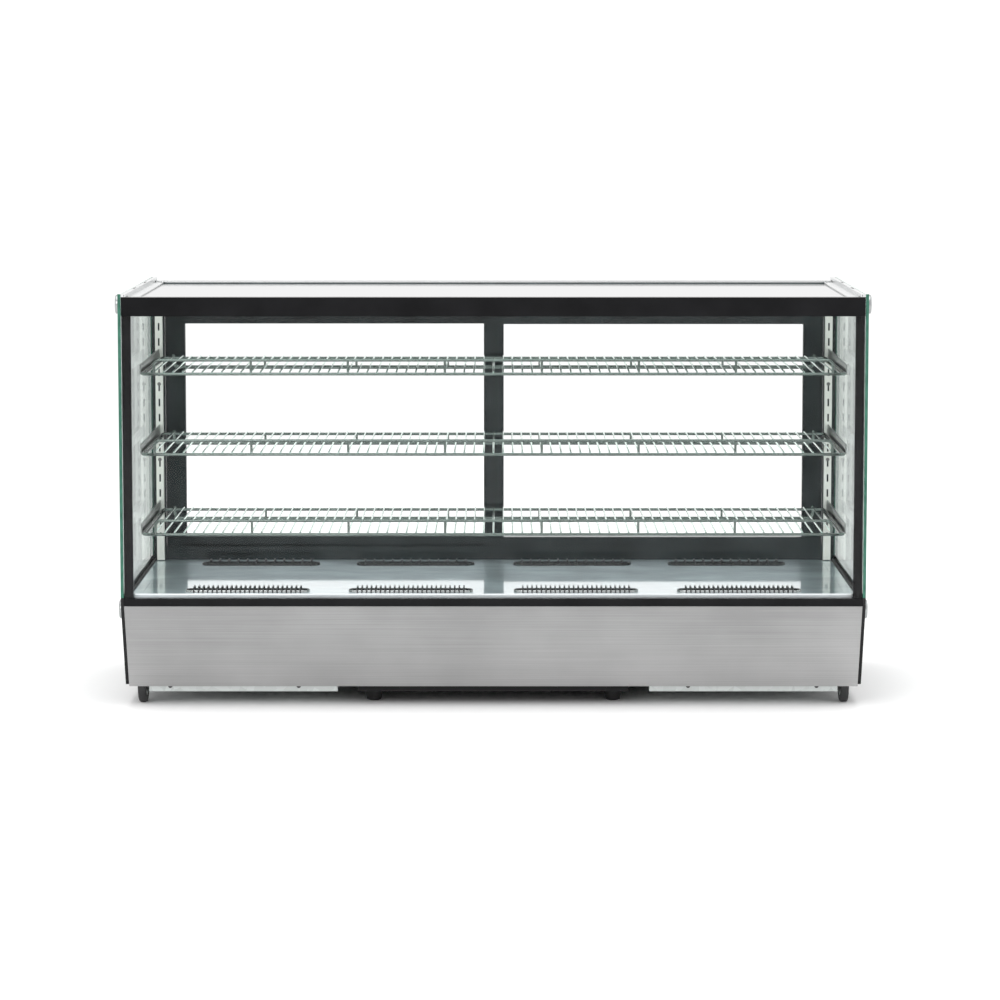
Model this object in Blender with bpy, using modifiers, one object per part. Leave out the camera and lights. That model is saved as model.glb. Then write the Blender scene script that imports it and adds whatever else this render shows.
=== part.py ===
"""Countertop hot food display case: a glass box on a low heated base, with wire shelves and rear doors.

Metres, +Z up. The front glass faces -Y. The origin is on the floor, under the middle of the case.
"""
import math

import bmesh
import bpy
from mathutils import Matrix, Vector

# ---- overall sizes -------------------------------------------------------------------------------
WIDTH = 1.219              # over the two side glasses
DEPTH = 0.568              # front glass rail to the rear edge of the side glasses
HEIGHT = 0.686             # floor to the top edge of the side glasses

# ---- stock and clearances ------------------------------------------------------------------------
GLASS = 0.005              # thickness of every pane
SHEET = 0.0012             # thickness of the folded sheet parts
GAP = 0.0003               # between pieces that touch
SLIDE_PLAY = 0.0005        # each side of a door in its track

# ---- base ----------------------------------------------------------------------------------------
BODY_CLEAR = 0.032         # underside of the body above the floor
TRAY_CLEAR = 0.0215        # underside of the trays above the floor
PANEL_TOP = 0.175          # top of the stainless front panel
PANEL_RAKE = 0.070         # how far the foot of the front panel is set back
TRIM_HEIGHT = 0.013
TRIM_DEPTH = 0.021
DECK_TOP = 0.185
DECK_LIP = 0.009           # upstand along the front of the deck
DECK_BORDER = 0.018        # joggled strip along each side of the deck
DECK_JOGGLE = 0.0006
SIDE_SEAL = 0.005          # space for the seal between deck and side glass
CHASSIS_HALF = WIDTH / 2 - 0.0345               # outside of the chassis walls
CHASSIS_FRONT = 0.082      # chassis front wall, behind the front face
REAR_INSET = 0.021         # rear panel, in front of the rear edge of the side glasses
TRAY_BACK_INSET = 0.020    # trays, in front of the rear panel
TRAY_INNER = 0.259
TRAY_STEP_IN = 0.003       # trays, inside the chassis walls and clear of the wheel studs
CENTRE_PLATE_HALF = 0.225

# ---- front and top frame -------------------------------------------------------------------------
RAIL_TOP_DROP = 0.005      # top of the front rail below the top edge of the side glasses
RAIL_HEIGHT = 0.031
RAIL_DEPTH = 0.022
GROOVE_BACK = 0.0025       # front lip of the glass grooves
TRIM_GROOVE = 0.0078       # depth of the glass groove in the trim
GROOVE_DEEP = 0.012
LEDGE_DEEP = 0.014         # ledges that carry the top glass
LEDGE_THICK = 0.003
TOP_GLASS_DROP = 0.010     # top face of the top glass below the side glass edge
CHANNEL_WIDE = 0.023
CHANNEL_WEB = 0.008
CHANNEL_LAP = 0.002
CORNER_WIDE = 0.015
CORNER_DEEP = 0.012

# ---- rear frame and doors ------------------------------------------------------------------------
TRACK_WALL = 0.003
TRACK_RIB = 0.002
DOOR_THICK = 0.013
OPENING_LOW = 0.225        # daylight of the doors, lower and upper edge
OPENING_HIGH = HEIGHT - 0.082
OPENING_HALF = WIDTH / 2 - 0.0625               # middle to the outer door stile's inner edge
DOOR_STILE = 0.035
DOOR_RAIL_LOW = 0.0225
DOOR_RAIL_HIGH = 0.028
DOOR_LIFT = 0.002          # play above a door
GLASS_BITE = 0.006         # how far door glass sits in its frame
SILL_SHOW = 0.006          # sill lip above the foot of the doors
HEADER_LAP = 0.010         # header lip below the head of the doors
HEADER_TRIM = 0.003
PULL_WIDE = 0.016
PULL_TALL = 0.100
PULL_DEEP = 0.008

# ---- pilasters, brackets and shelves -------------------------------------------------------------
PILASTER_WIDE = 0.013
PILASTER_DEEP = 0.010
PILASTER_INSET = 0.007     # from the side glass
SLOT_PITCH = 0.0268
SLOT_TALL = 0.0133
SLOT_WIDE = 0.0028
SHELF_LOW = 0.2785         # centre of the frame wire of the lowest shelf
SHELF_HEADROOM = 0.100     # least height left over the top shelf
SHELF_NAMES = ("lower", "middle", "upper")
SHELF_HALF = WIDTH / 2 - 0.023
SHELF_FRONT = 0.1255
SHELF_BACK = DEPTH - 0.0655
FRAME_WIRE = 0.005
CROSS_WIRE = 0.003
CROSS_RISE = 0.0025        # cross wires above the frame wire
WIRE_PITCH = 0.0161
POST_EVERY = 10            # cross wires from one guard post to the next
GUARD_HIGH = 0.023
REAR_LOOP_LOW = 0.016
BRACKET_THICK = 0.002
BRACKET_FRONT = 0.177
BRACKET_RISE = 0.0145      # bracket web above the frame wire's centre
BRACKET_LIP = 0.010
BRACKET_HOOK = 0.003        # hook behind the pilaster

# ---- air vents -----------------------------------------------------------------------------------
VENT_LONG = 0.207
VENT_WIDE = 0.030
VENT_INNER, VENT_OUTER = 0.1375, WIDTH / 2 - 0.2005    # middle of the case to the vents' middles
VENT_FRONT = 0.108
VENT_BACK = DEPTH - 0.106
VENT_COLLAR_HIGH = 0.006
VENT_WALL = 0.0025
FRONT_VENT_BARS = 24
REAR_VENT_BARS = 12           # wider spaced, behind the food
VENT_BAR_WIDE = 0.0022
VENT_TIE_WIDE = 0.012

# ---- heating, air and light ----------------------------------------------------------------------
HEATER_TUBE = 0.008
HEATER_HALF = WIDTH / 2 - 0.1895
HEATER_HIGH = 0.120
HEATER_RUNS = (0.190, 0.250, 0.310, 0.370)
STAND_WIDE = 0.020
STAND_REACH = 0.030         # stand past the outer runs of the element
FAN_SIDE = 0.120
FAN_THICK = 0.025
FAN_BACK = 0.280
FAN_PLAY = 0.0015
FAN_BORE = 0.0552           # radius of the round opening
FAN_HUB = 0.0216
FAN_INLET = 0.0504          # radius of the hole in the chassis floor
BLADE_PITCH = math.radians(50)
FAN_BLADES = 7
LIGHT_HALF = WIDTH / 2 - 0.0345
LIGHT_DEEP = 0.020
LIGHT_HIGH = 0.014

# ---- controls ------------------------------------------------------------------------------------
CONTROL_X = 0.2095 - WIDTH / 2
CONTROL_Z = 0.108
CONTROL_WIDE = 0.180
CONTROL_TALL = 0.090
CONTROL_RIM = 0.006
CONTROL_BOX_DEEP = 0.050
KNOB_RADIUS = 0.019
KNOB_LONG = 0.015
KNOB_GRIP_RADIUS = 0.01406
KNOB_SKIRT = 0.003          # height of the skirt at its edge
KNOB_BODY = 0.012           # height of the body under the grip ridge
KNOB_SOCKET = 0.00975       # depth of the hole for the shaft
KNOB_RIDGE_WIDE = 0.004
KNOB_X = 0.055             # knob centre, from the middle of the control plate
SHAFT_RADIUS = 0.003
SWITCH_XS = (-0.062, -0.030)
SWITCH_NAMES = ("power_switch", "light_switch")
SWITCH_WIDE = 0.013
SWITCH_TALL = 0.019
SWITCH_DEEP = 0.009
SWITCH_TILT = math.radians(8)
SWITCH_RISE = 0.0042        # middle of the rocker face outside its pivot
SWITCH_HEEL = 0.0022        # back of the rocker inside its pivot
GLAND_X = WIDTH / 2 - 0.1095
GLAND_Z = 0.075
GLAND_RADIUS = 0.010
GLAND_FLANGE = 0.0115
GLAND_THREAD = 0.008
GLAND_BORE = 0.0042
GLAND_LONG = 0.014
GLAND_FLANGE_THICK = 0.003
GLAND_NUT = 0.004
GLAND_DOME = 0.004          # length of the domed end
LOUVRE_XS = (-0.160, 0.080, 0.300)
LOUVRE_LONG = 0.150
LOUVRE_TALL = 0.004
LOUVRE_PITCH = 0.011
LOUVRE_ROWS = 7

# ---- feet and wheels -----------------------------------------------------------------------------
FOOT_TOP_RADIUS = 0.0158
FOOT_LOW_RADIUS = 0.0120
FOOT_EDGE = 0.002
FOOT_X = 0.200
FOOT_BACKS = (0.130, DEPTH - 0.128)
WHEEL_RADIUS = 0.035
WHEEL_WIDE = 0.014
WHEEL_SIDE_GAP = 0.002
WHEEL_EDGE = 0.0015
WHEEL_BACKS = (0.110, DEPTH - 0.118)
AXLE_RADIUS = 0.004

# ---- derived places ------------------------------------------------------------------------------
FRONT = -DEPTH / 2
GLASS_IN = WIDTH / 2 - GLASS                # inner face of a side glass
FIT_HALF = GLASS_IN - GAP                   # half width of what fits between the side glasses
TRIM_TOP = PANEL_TOP + TRIM_HEIGHT
RAIL_TOP = HEIGHT - RAIL_TOP_DROP
RAIL_LOW = RAIL_TOP - RAIL_HEIGHT
TOP_GLASS_TOP = HEIGHT - TOP_GLASS_DROP
TOP_GLASS_LOW = TOP_GLASS_TOP - GLASS
LEDGE_TOP = TOP_GLASS_LOW - GAP
TRACK_WIDE = DOOR_THICK + 2 * SLIDE_PLAY
FRAME_DEEP = 2 * TRACK_WALL + 2 * TRACK_WIDE + TRACK_RIB
FRAME_FRONT = DEPTH - FRAME_DEEP            # front face of the rear frame, behind the front face
REAR_PANEL_BACK = DEPTH - REAR_INSET
DOOR_LOW = OPENING_LOW - DOOR_RAIL_LOW
DOOR_HIGH = OPENING_HIGH + DOOR_RAIL_HIGH
SILL_TOP = DOOR_LOW + SILL_SHOW
HEADER_LOW = DOOR_HIGH - HEADER_LAP + DOOR_LIFT
HEADER_TOP = TOP_GLASS_TOP + 0.0015
DOOR_OUTER = OPENING_HALF + DOOR_STILE      # outer edge of a closed door
DOOR_WIDE = DOOR_OUTER + DOOR_STILE / 2
POST_INNER = DOOR_OUTER + SLIDE_PLAY
DECK_HALF = GLASS_IN - SIDE_SEAL
DECK_FRONT = TRIM_DEPTH + GAP
DECK_LOW = DECK_TOP - SHEET
SILL_LOW = DECK_LOW
PILASTER_X = GLASS_IN - PILASTER_INSET - PILASTER_WIDE / 2
PILASTER_FACE = FRAME_FRONT - GAP - PILASTER_DEEP
PILASTER_LOW = DECK_TOP + GAP
PILASTER_HIGH = LEDGE_TOP - LEDGE_THICK - GAP
SHELF_ROOM = HEIGHT - SHELF_HEADROOM - SHELF_LOW
SHELF_STEP = int(SHELF_ROOM / (len(SHELF_NAMES) - 1) / SLOT_PITCH) * SLOT_PITCH    # a whole number of slots
VENT_CENTRES = (-VENT_OUTER, -VENT_INNER, VENT_INNER, VENT_OUTER)
SHELF_LEVELS = tuple(SHELF_LOW + number * SHELF_STEP for number in range(len(SHELF_NAMES)))
FIRST_SLOT = SHELF_LOW - SLOT_PITCH
WHEEL_IN = CHASSIS_HALF + WHEEL_SIDE_GAP
CHASSIS_BACK = REAR_PANEL_BACK - SHEET - GAP
CHASSIS_TOP = DECK_LOW - GAP


def back(distance):
    """World Y of a place this far behind the front face."""
    return FRONT + distance


# ---- materials -----------------------------------------------------------------------------------
FINISHES = {
    "stainless_satin": ((0.62, 0.61, 0.61), 0.38, 1.0),
    "stainless_mirror": ((0.72, 0.74, 0.74), 0.08, 1.0),
    "galvanised": ((0.70, 0.73, 0.73), 0.45, 1.0),
    "black_gloss": ((0.012, 0.012, 0.013), 0.12, 0.0),
    "black_frame": ((0.016, 0.016, 0.018), 0.25, 0.0),
    "black_coat": ((0.020, 0.020, 0.021), 0.45, 0.0),
    "aluminium": ((0.78, 0.79, 0.79), 0.28, 1.0),
    "shelf_wire": ((0.55, 0.58, 0.56), 0.25, 1.0),
    "bracket_zinc": ((0.20, 0.21, 0.21), 0.35, 1.0),
    "pilaster_paint": ((0.76, 0.76, 0.72), 0.40, 0.0),
    "vent_grey": ((0.09, 0.10, 0.10), 0.40, 0.0),
    "rubber": ((0.015, 0.015, 0.015), 0.70, 0.0),
    "black_plastic": ((0.020, 0.020, 0.020), 0.40, 0.0),
    "heater_steel": ((0.28, 0.27, 0.26), 0.40, 1.0),
    "light_lens": ((0.90, 0.93, 0.95), 0.30, 0.0),
    "clear_glass": ((0.85, 0.95, 0.91), 0.02, 0.0),
}


def finish(slot):
    """The Principled material of a finish, made the first time it is asked for."""
    found = bpy.data.materials.get(slot)
    if found:
        return found
    colour, roughness, metallic = FINISHES[slot]
    material = bpy.data.materials.new(slot)
    material.use_nodes = True
    shader = material.node_tree.nodes["Principled BSDF"]
    shader.inputs["Base Color"].default_value = (*colour, 1.0)
    shader.inputs["Roughness"].default_value = roughness
    shader.inputs["Metallic"].default_value = metallic
    if slot == "clear_glass":
        shader.inputs["Transmission Weight"].default_value = 1.0
        shader.inputs["IOR"].default_value = 1.52
    return material


# ---- ways of making a piece ----------------------------------------------------------------------
def collection(name):
    """The collection of that name, made and linked the first time."""
    found = bpy.data.collections.get(name)
    if found is None:
        found = bpy.data.collections.new(name)
        bpy.context.scene.collection.children.link(found)
    return found


def add_object(name, mesh, slot=None):
    """A mesh as a part of the case when it has a finish, or as a cutter when it has none."""
    piece = bpy.data.objects.new(name, mesh)
    if slot is None:
        collection("cutters").objects.link(piece)
        piece.hide_render = True
        piece.display_type = "WIRE"
    else:
        collection("hot_food_display_case").objects.link(piece)
        mesh.materials.clear()
        mesh.materials.append(finish(slot))
    return piece


def box(name, low, high, slot=None, bevel=0.0):
    """A block between two corners, with its origin at its centre."""
    low, high = Vector(low), Vector(high)
    shape = bmesh.new()
    bmesh.ops.create_cube(shape, size=1.0)
    bmesh.ops.scale(shape, vec=high - low, verts=shape.verts)
    mesh = bpy.data.meshes.new(name)
    shape.to_mesh(mesh)
    shape.free()
    piece = add_object(name, mesh, slot)
    piece.location = (low + high) / 2
    if bevel:
        rounding = piece.modifiers.new("edges", "BEVEL")
        rounding.width = bevel
        rounding.segments = 1
    return piece


def rectangle(low_a, low_b, high_a, high_b):
    """The corners of an upright rectangle."""
    return [(low_a, low_b), (high_a, low_b), (high_a, high_b), (low_a, high_b)]


def obround(centre_a, centre_b, length, width, segments=6):
    """A slot outline with round ends, its length along the first axis."""
    radius = width / 2
    straight = length / 2 - radius
    points = []
    for side in (1, -1):
        for step in range(segments + 1):
            angle = math.pi * (step / segments - 0.5)
            points.append((centre_a + side * (straight + radius * math.cos(angle)),
                           centre_b + side * radius * math.sin(angle)))
    return points


PLANES = {
    "XY": Matrix.Identity(4),
    "XZ": Matrix(((1, 0, 0, 0), (0, 0, -1, 0), (0, 1, 0, 0), (0, 0, 0, 1))),
    "YZ": Matrix(((0, 0, 1, 0), (1, 0, 0, 0), (0, 1, 0, 0), (0, 0, 0, 1))),
}


def plate(name, plane, outlines, low, high, slot=None):
    """A flat outline, with any further outlines as holes, thickened from low to high across its plane.

    XY outlines are (x, y), XZ outlines (x, z) and YZ outlines (y, z), in world places.
    """
    curve = bpy.data.curves.new(name, "CURVE")
    curve.dimensions = "2D"
    curve.fill_mode = "BOTH"
    curve.extrude = (high - low) / 2
    for outline in outlines:
        spline = curve.splines.new("POLY")
        spline.points.add(len(outline) - 1)
        for point, place in zip(spline.points, outline):
            point.co = (*place, 0.0, 1.0)
        spline.use_cyclic_u = True
    across = {"XY": Vector((0, 0, 1)), "XZ": Vector((0, 1, 0)), "YZ": Vector((1, 0, 0))}[plane]
    return curve_to_piece(name, curve, Matrix.Translation(across * (low + high) / 2) @ PLANES[plane], slot)


def curve_to_piece(name, curve, place, slot=None):
    """The mesh of a curve, welded at its caps, as a piece with the curve's place."""
    guide = bpy.data.objects.new(name + "_curve", curve)
    bpy.context.scene.collection.objects.link(guide)
    guide.matrix_world = place
    bpy.context.view_layer.update()
    depsgraph = bpy.context.evaluated_depsgraph_get()
    mesh = bpy.data.meshes.new_from_object(guide.evaluated_get(depsgraph))
    mesh.name = name
    weld_mesh(mesh)
    bpy.data.objects.remove(guide)
    bpy.data.curves.remove(curve)
    piece = add_object(name, mesh, slot)
    piece.matrix_world = place
    return piece


def weld_mesh(mesh):
    """Merge doubled vertices and turn every face outwards."""
    shape = bmesh.new()
    shape.from_mesh(mesh)
    bmesh.ops.remove_doubles(shape, verts=shape.verts, dist=1e-6)
    bmesh.ops.recalc_face_normals(shape, faces=shape.faces)
    shape.to_mesh(mesh)
    shape.free()


def slotted_block(name, low, high, slots, slot=None):
    """A block with rectangular slots right through it: slots are (low, high) corner pairs."""
    block = box(name, low, high, slot)
    shape = bmesh.new()
    for slot_low, slot_high in slots:
        slot_low, slot_high = Vector(slot_low), Vector(slot_high)
        made = bmesh.ops.create_cube(shape, size=1.0)
        bmesh.ops.scale(shape, vec=slot_high - slot_low, verts=made["verts"])
        bmesh.ops.translate(shape, vec=(slot_low + slot_high) / 2, verts=made["verts"])
    mesh = bpy.data.meshes.new(name + "_slots")
    shape.to_mesh(mesh)
    shape.free()
    return combine(block, [add_object(name + "_slots", mesh)], "DIFFERENCE")


def folded_sheet(name, fold_line, low_x, high_x, slot, thickness=SHEET):
    """Sheet folded along lines parallel to X: fold_line holds the (y, z) places of its middle."""
    shape = bmesh.new()
    rows = [[shape.verts.new((x, y, z)) for y, z in fold_line] for x in (low_x, high_x)]
    for near, far in zip(range(len(fold_line)), range(1, len(fold_line))):
        shape.faces.new((rows[0][near], rows[1][near], rows[1][far], rows[0][far]))
    return thicken(name, shape, slot, thickness)


def open_box_sheet(name, low, high, open_sides, slot, thickness=SHEET):
    """Folded sheet in the form of a box without some of its sides, named as in '+Z'."""
    low, high = Vector(low), Vector(high)
    shape = bmesh.new()
    bmesh.ops.create_cube(shape, size=1.0)
    bmesh.ops.scale(shape, vec=high - low, verts=shape.verts)
    bmesh.ops.translate(shape, vec=(low + high) / 2, verts=shape.verts)
    shape.normal_update()
    axes = {"X": Vector((1, 0, 0)), "Y": Vector((0, 1, 0)), "Z": Vector((0, 0, 1))}
    for side in open_sides:
        outward = axes[side[1]] * (1 if side[0] == "+" else -1)
        gone = [face for face in shape.faces if face.normal.dot(outward) > 0.9]
        bmesh.ops.delete(shape, geom=gone, context="FACES")
    return thicken(name, shape, slot, thickness)


def thicken(name, shape, slot, thickness):
    """A surface given its sheet thickness, half to each side."""
    mesh = bpy.data.meshes.new(name)
    shape.to_mesh(mesh)
    shape.free()
    piece = add_object(name, mesh, slot)
    wall = piece.modifiers.new("sheet", "SOLIDIFY")
    wall.thickness = thickness
    wall.offset = 0
    wall.use_even_offset = True
    return piece


def turned(name, profile, place, axis, slot=None, steps=20):
    """A profile of (radius, height) pairs turned about an axis; one that ends where it starts is a ring.

    The profile runs down its outer side, from the top.
    """
    shape = bmesh.new()
    closed = profile[0] == profile[-1]
    outline = profile[:-1] if closed else profile
    corners = [shape.verts.new((radius, 0, height)) for radius, height in outline]
    for first, second in zip(corners, corners[1:] + corners[:1] * closed):
        shape.edges.new((first, second))
    mesh = bpy.data.meshes.new(name)
    shape.to_mesh(mesh)
    shape.free()
    piece = add_object(name, mesh, slot)
    spin = piece.modifiers.new("turn", "SCREW")
    spin.angle = math.tau
    spin.steps = steps
    spin.render_steps = steps
    spin.use_merge_vertices = True
    spin.merge_threshold = 0.00001
    piece.location = place
    piece.rotation_mode = "QUATERNION"
    piece.rotation_quaternion = Vector((0, 0, 1)).rotation_difference(Vector(axis))
    return piece


def cylinder(name, radius, start, end, slot=None, segments=20):
    """A round bar between two points."""
    start, end = Vector(start), Vector(end)
    shape = bmesh.new()
    bmesh.ops.create_cone(shape, cap_ends=True, segments=segments, radius1=radius, radius2=radius,
                          depth=(end - start).length)
    mesh = bpy.data.meshes.new(name)
    shape.to_mesh(mesh)
    shape.free()
    piece = add_object(name, mesh, slot)
    piece.location = (start + end) / 2
    piece.rotation_mode = "QUATERNION"
    piece.rotation_quaternion = Vector((0, 0, 1)).rotation_difference(end - start)
    return piece


def combine(piece, others, operation):
    """Cut pieces out of a piece, or join them to it."""
    for other in others:
        step = piece.modifiers.new(other.name, "BOOLEAN")
        step.operation = operation
        step.solver = "EXACT"
        step.object = other
    return piece


def round_shading(piece):
    """Smooth shading with the sharp edges kept."""
    piece.data.shade_smooth()
    piece.data.set_sharp_from_angle(angle=math.radians(40))
    return piece


def hang_on(piece, joint_name, place):
    """Parent a moving piece to an empty that stands on its joint's axis, leaving it where it is."""
    holder = bpy.data.objects.get(joint_name)
    if holder is None:
        holder = bpy.data.objects.new(joint_name, None)
        collection("hot_food_display_case").objects.link(holder)
        holder.location = place
        bpy.context.view_layer.update()
    bpy.context.view_layer.update()
    world = piece.matrix_world.copy()
    piece.parent = holder
    piece.matrix_parent_inverse = holder.matrix_world.inverted()
    piece.matrix_world = world


# ---- base ----------------------------------------------------------------------------------------
def make_chassis():
    """Folded tray that carries the deck, with the fan's air inlet and the wheel axle studs."""
    half = CHASSIS_HALF - SHEET / 2
    chassis = open_box_sheet("chassis", (-half, back(CHASSIS_FRONT), BODY_CLEAR + SHEET / 2),
                             (half, back(CHASSIS_BACK), CHASSIS_TOP), ("+Z", "+Y"), "galvanised")
    inlet = cylinder("fan_inlet_cut", FAN_INLET, (0, back(FAN_BACK), BODY_CLEAR - SHEET),
                     (0, back(FAN_BACK), BODY_CLEAR + 3 * SHEET))
    studs = []
    for side in (-1, 1):
        for number, distance in enumerate(WHEEL_BACKS):
            studs.append(cylinder(f"axle_stud_{side}_{number}", AXLE_RADIUS,
                                  (side * (CHASSIS_HALF - SHEET / 2), back(distance), WHEEL_RADIUS),
                                  (side * (WHEEL_IN + WHEEL_WIDE + GAP), back(distance), WHEEL_RADIUS),
                                  segments=12))
    combine(chassis, [inlet], "DIFFERENCE")
    combine(chassis, studs, "UNION")


def make_base_trays():
    """Galvanised drip trays under the two sides and the black plate between them."""
    tray_back = REAR_PANEL_BACK - TRAY_BACK_INSET
    outer = CHASSIS_HALF - TRAY_STEP_IN
    for name, low, high in (("left_base_tray", -outer, -TRAY_INNER),
                            ("right_base_tray", TRAY_INNER, outer)):
        open_box_sheet(name, (low + SHEET / 2, back(CHASSIS_FRONT), TRAY_CLEAR + SHEET / 2),
                       (high - SHEET / 2, back(tray_back), BODY_CLEAR - GAP), ("+Z",), "galvanised")
    half = CENTRE_PLATE_HALF - SHEET / 2
    open_box_sheet("centre_base_plate", (-half, back(CHASSIS_FRONT), TRAY_CLEAR + SHEET / 2),
                   (half, back(tray_back), BODY_CLEAR - GAP), ("+Z", "+Y"), "black_coat")


def make_front_panel():
    """Raked stainless panel with a return along its top."""
    middle = SHEET / 2
    folded_sheet("front_panel",
                 [(back(TRIM_DEPTH), PANEL_TOP - middle), (back(SHEET), PANEL_TOP - middle),
                  (back(PANEL_RAKE + SHEET), BODY_CLEAR)], -FIT_HALF, FIT_HALF, "stainless_satin")


def make_front_trim():
    """Black trim bar between the front panel and the front glass, grooved for the glass."""
    low, groove_low = PANEL_TOP + GAP, TRIM_TOP - TRIM_GROOVE
    lip, wall = back(GROOVE_BACK), back(GROOVE_BACK + GLASS + 2 * SLIDE_PLAY)
    outline = [(back(0), low), (back(TRIM_DEPTH), low), (back(TRIM_DEPTH), TRIM_TOP), (wall, TRIM_TOP),
               (wall, groove_low), (lip, groove_low), (lip, TRIM_TOP), (back(0), TRIM_TOP)]
    plate("front_trim", "YZ", [outline], -FIT_HALF, FIT_HALF, "black_gloss")


def side_outline(inset, low, high):
    """The side's (y, z) outline: upright front, raked foot, square back."""
    rake = PANEL_RAKE * (PANEL_TOP - low) / (PANEL_TOP - BODY_CLEAR)
    return [(back(rake + inset), low), (back(DEPTH - inset), low), (back(DEPTH - inset), high),
            (back(inset), high), (back(inset), PANEL_TOP)]


def make_base_sides():
    """Black panels that close the ends of the base behind the side glasses."""
    inset, low, high = 5 * SHEET, BODY_CLEAR + SHEET, PANEL_TOP - 2 * SHEET
    foot = side_outline(3 * SHEET, low, high)[:3]
    outline = foot + [(back(inset), high)]
    for name, side in (("left_base_side", -1), ("right_base_side", 1)):
        faces = sorted((side * FIT_HALF, side * (FIT_HALF - 2 * SHEET)))
        plate(name, "YZ", [outline], *faces, "black_coat")


def make_rear_panel():
    """Black rear panel of the base, with louvres, the control plate's window and the cord inlet's hole."""
    half = FIT_HALF - 2 * SHEET - GAP
    outlines = [rectangle(-half, BODY_CLEAR, half, SILL_LOW - GAP)]
    for centre in LOUVRE_XS:
        for row in range(LOUVRE_ROWS):
            height = CONTROL_Z + (row - (LOUVRE_ROWS - 1) / 2) * LOUVRE_PITCH
            outlines.append(rectangle(centre - LOUVRE_LONG / 2, height - LOUVRE_TALL / 2,
                                      centre + LOUVRE_LONG / 2, height + LOUVRE_TALL / 2))
    window_wide = CONTROL_WIDE / 2 - CONTROL_RIM + GAP
    window_tall = CONTROL_TALL / 2 - CONTROL_RIM + GAP
    outlines.append(rectangle(CONTROL_X - window_wide, CONTROL_Z - window_tall,
                              CONTROL_X + window_wide, CONTROL_Z + window_tall))
    hole = GLAND_THREAD + GAP
    outlines.append([(GLAND_X + hole * math.cos(turn * math.tau / 16),
                      GLAND_Z + hole * math.sin(turn * math.tau / 16)) for turn in range(16)])
    plate("rear_panel", "XZ", outlines, back(REAR_PANEL_BACK - SHEET), back(REAR_PANEL_BACK), "black_coat")


def make_deck():
    """Mirror-polished deck with a front lip, joggled side borders and eight vent openings."""
    inner = DECK_HALF - DECK_BORDER
    middle = DECK_TOP - SHEET / 2
    across = [(-DECK_HALF, -DECK_JOGGLE), (-inner - 2 * DECK_JOGGLE, -DECK_JOGGLE), (-inner, 0),
              (inner, 0), (inner + 2 * DECK_JOGGLE, -DECK_JOGGLE), (DECK_HALF, -DECK_JOGGLE)]
    along = [(DECK_FRONT + SHEET / 2, DECK_LIP), (DECK_FRONT + SHEET / 2, 0), (FRAME_FRONT - GAP, 0)]
    shape = bmesh.new()
    rows = [[shape.verts.new((x, back(distance), middle + lift + (drop if lift == 0 else 0)))
             for x, drop in across] for distance, lift in along]
    for near, far in zip(rows, rows[1:]):
        for column in range(len(across) - 1):
            shape.faces.new((near[column], near[column + 1], far[column + 1], far[column]))
    deck = thicken("deck", shape, "stainless_mirror", SHEET)
    openings = []
    for row, distance in (("front", VENT_FRONT), ("rear", VENT_BACK)):
        for number, centre in enumerate(VENT_CENTRES):
            outline = obround(centre, back(distance), VENT_LONG + 2 * GAP, VENT_WIDE + 2 * GAP)
            openings.append(plate(f"{row}_vent_cut_{number}", "XY", [outline],
                                  DECK_LOW - 0.01, DECK_TOP + 0.01))
    combine(deck, openings, "DIFFERENCE")


def make_air_grille(name, distance, bars):
    """Strip under the deck that carries four raised, ribbed vent collars through the deck's openings."""
    centre = back(distance)
    rib_top = DECK_TOP + VENT_COLLAR_HIGH
    strip_top = DECK_LOW - GAP
    strip_end = VENT_CENTRES[-1] + VENT_LONG / 2 + VENT_TIE_WIDE
    strip_half = VENT_WIDE / 2 + 2 * VENT_WALL
    pitch = (VENT_LONG - VENT_WIDE) / (bars - 1)
    gap_half = (pitch - VENT_BAR_WIDE) / 2
    opening_half = VENT_WIDE / 2 - VENT_WALL - GAP
    slots = []
    for middle in VENT_CENTRES:
        for number in range(bars - 1):
            place = middle + (number - (bars - 2) / 2) * pitch
            slots.append(((place - gap_half, centre - opening_half, strip_top - 2 * SHEET),
                          (place + gap_half, centre + opening_half, strip_top + SHEET)))
    strip = slotted_block(name, (-strip_end, centre - strip_half, strip_top - SHEET),
                          (strip_end, centre + strip_half, strip_top), slots, "vent_grey")
    collars = []
    for number, middle in enumerate(VENT_CENTRES):
        rings = [obround(middle, centre, VENT_LONG, VENT_WIDE),
                 obround(middle, centre, VENT_LONG - 2 * VENT_WALL, VENT_WIDE - 2 * VENT_WALL)]
        collars.append(plate(f"{name}_collar_{number}", "XY", rings, strip_top - SHEET / 2, rib_top))
    combine(strip, collars, "UNION")


# ---- glass and outer frame -----------------------------------------------------------------------
def make_glass():
    """Front, side and top panes."""
    inset = GROOVE_BACK + SLIDE_PLAY
    box("front_glass", (-FIT_HALF + GAP, back(inset), TRIM_TOP - TRIM_GROOVE + GAP),
        (FIT_HALF - GAP, back(inset + GLASS), RAIL_LOW + GROOVE_DEEP - GAP), "clear_glass")
    outline = side_outline(0, BODY_CLEAR + 3 * SHEET, HEIGHT)
    for name, side in (("left_side_glass", -1), ("right_side_glass", 1)):
        faces = sorted((side * GLASS_IN, side * (GLASS_IN + GLASS)))
        plate(name, "YZ", [outline], *faces, "clear_glass")
    half = FIT_HALF - CHANNEL_WEB - GAP
    box("top_glass", (-half, back(RAIL_DEPTH + GAP), TOP_GLASS_LOW),
        (half, back(FRAME_FRONT - GAP), TOP_GLASS_TOP), "clear_glass")


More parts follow.
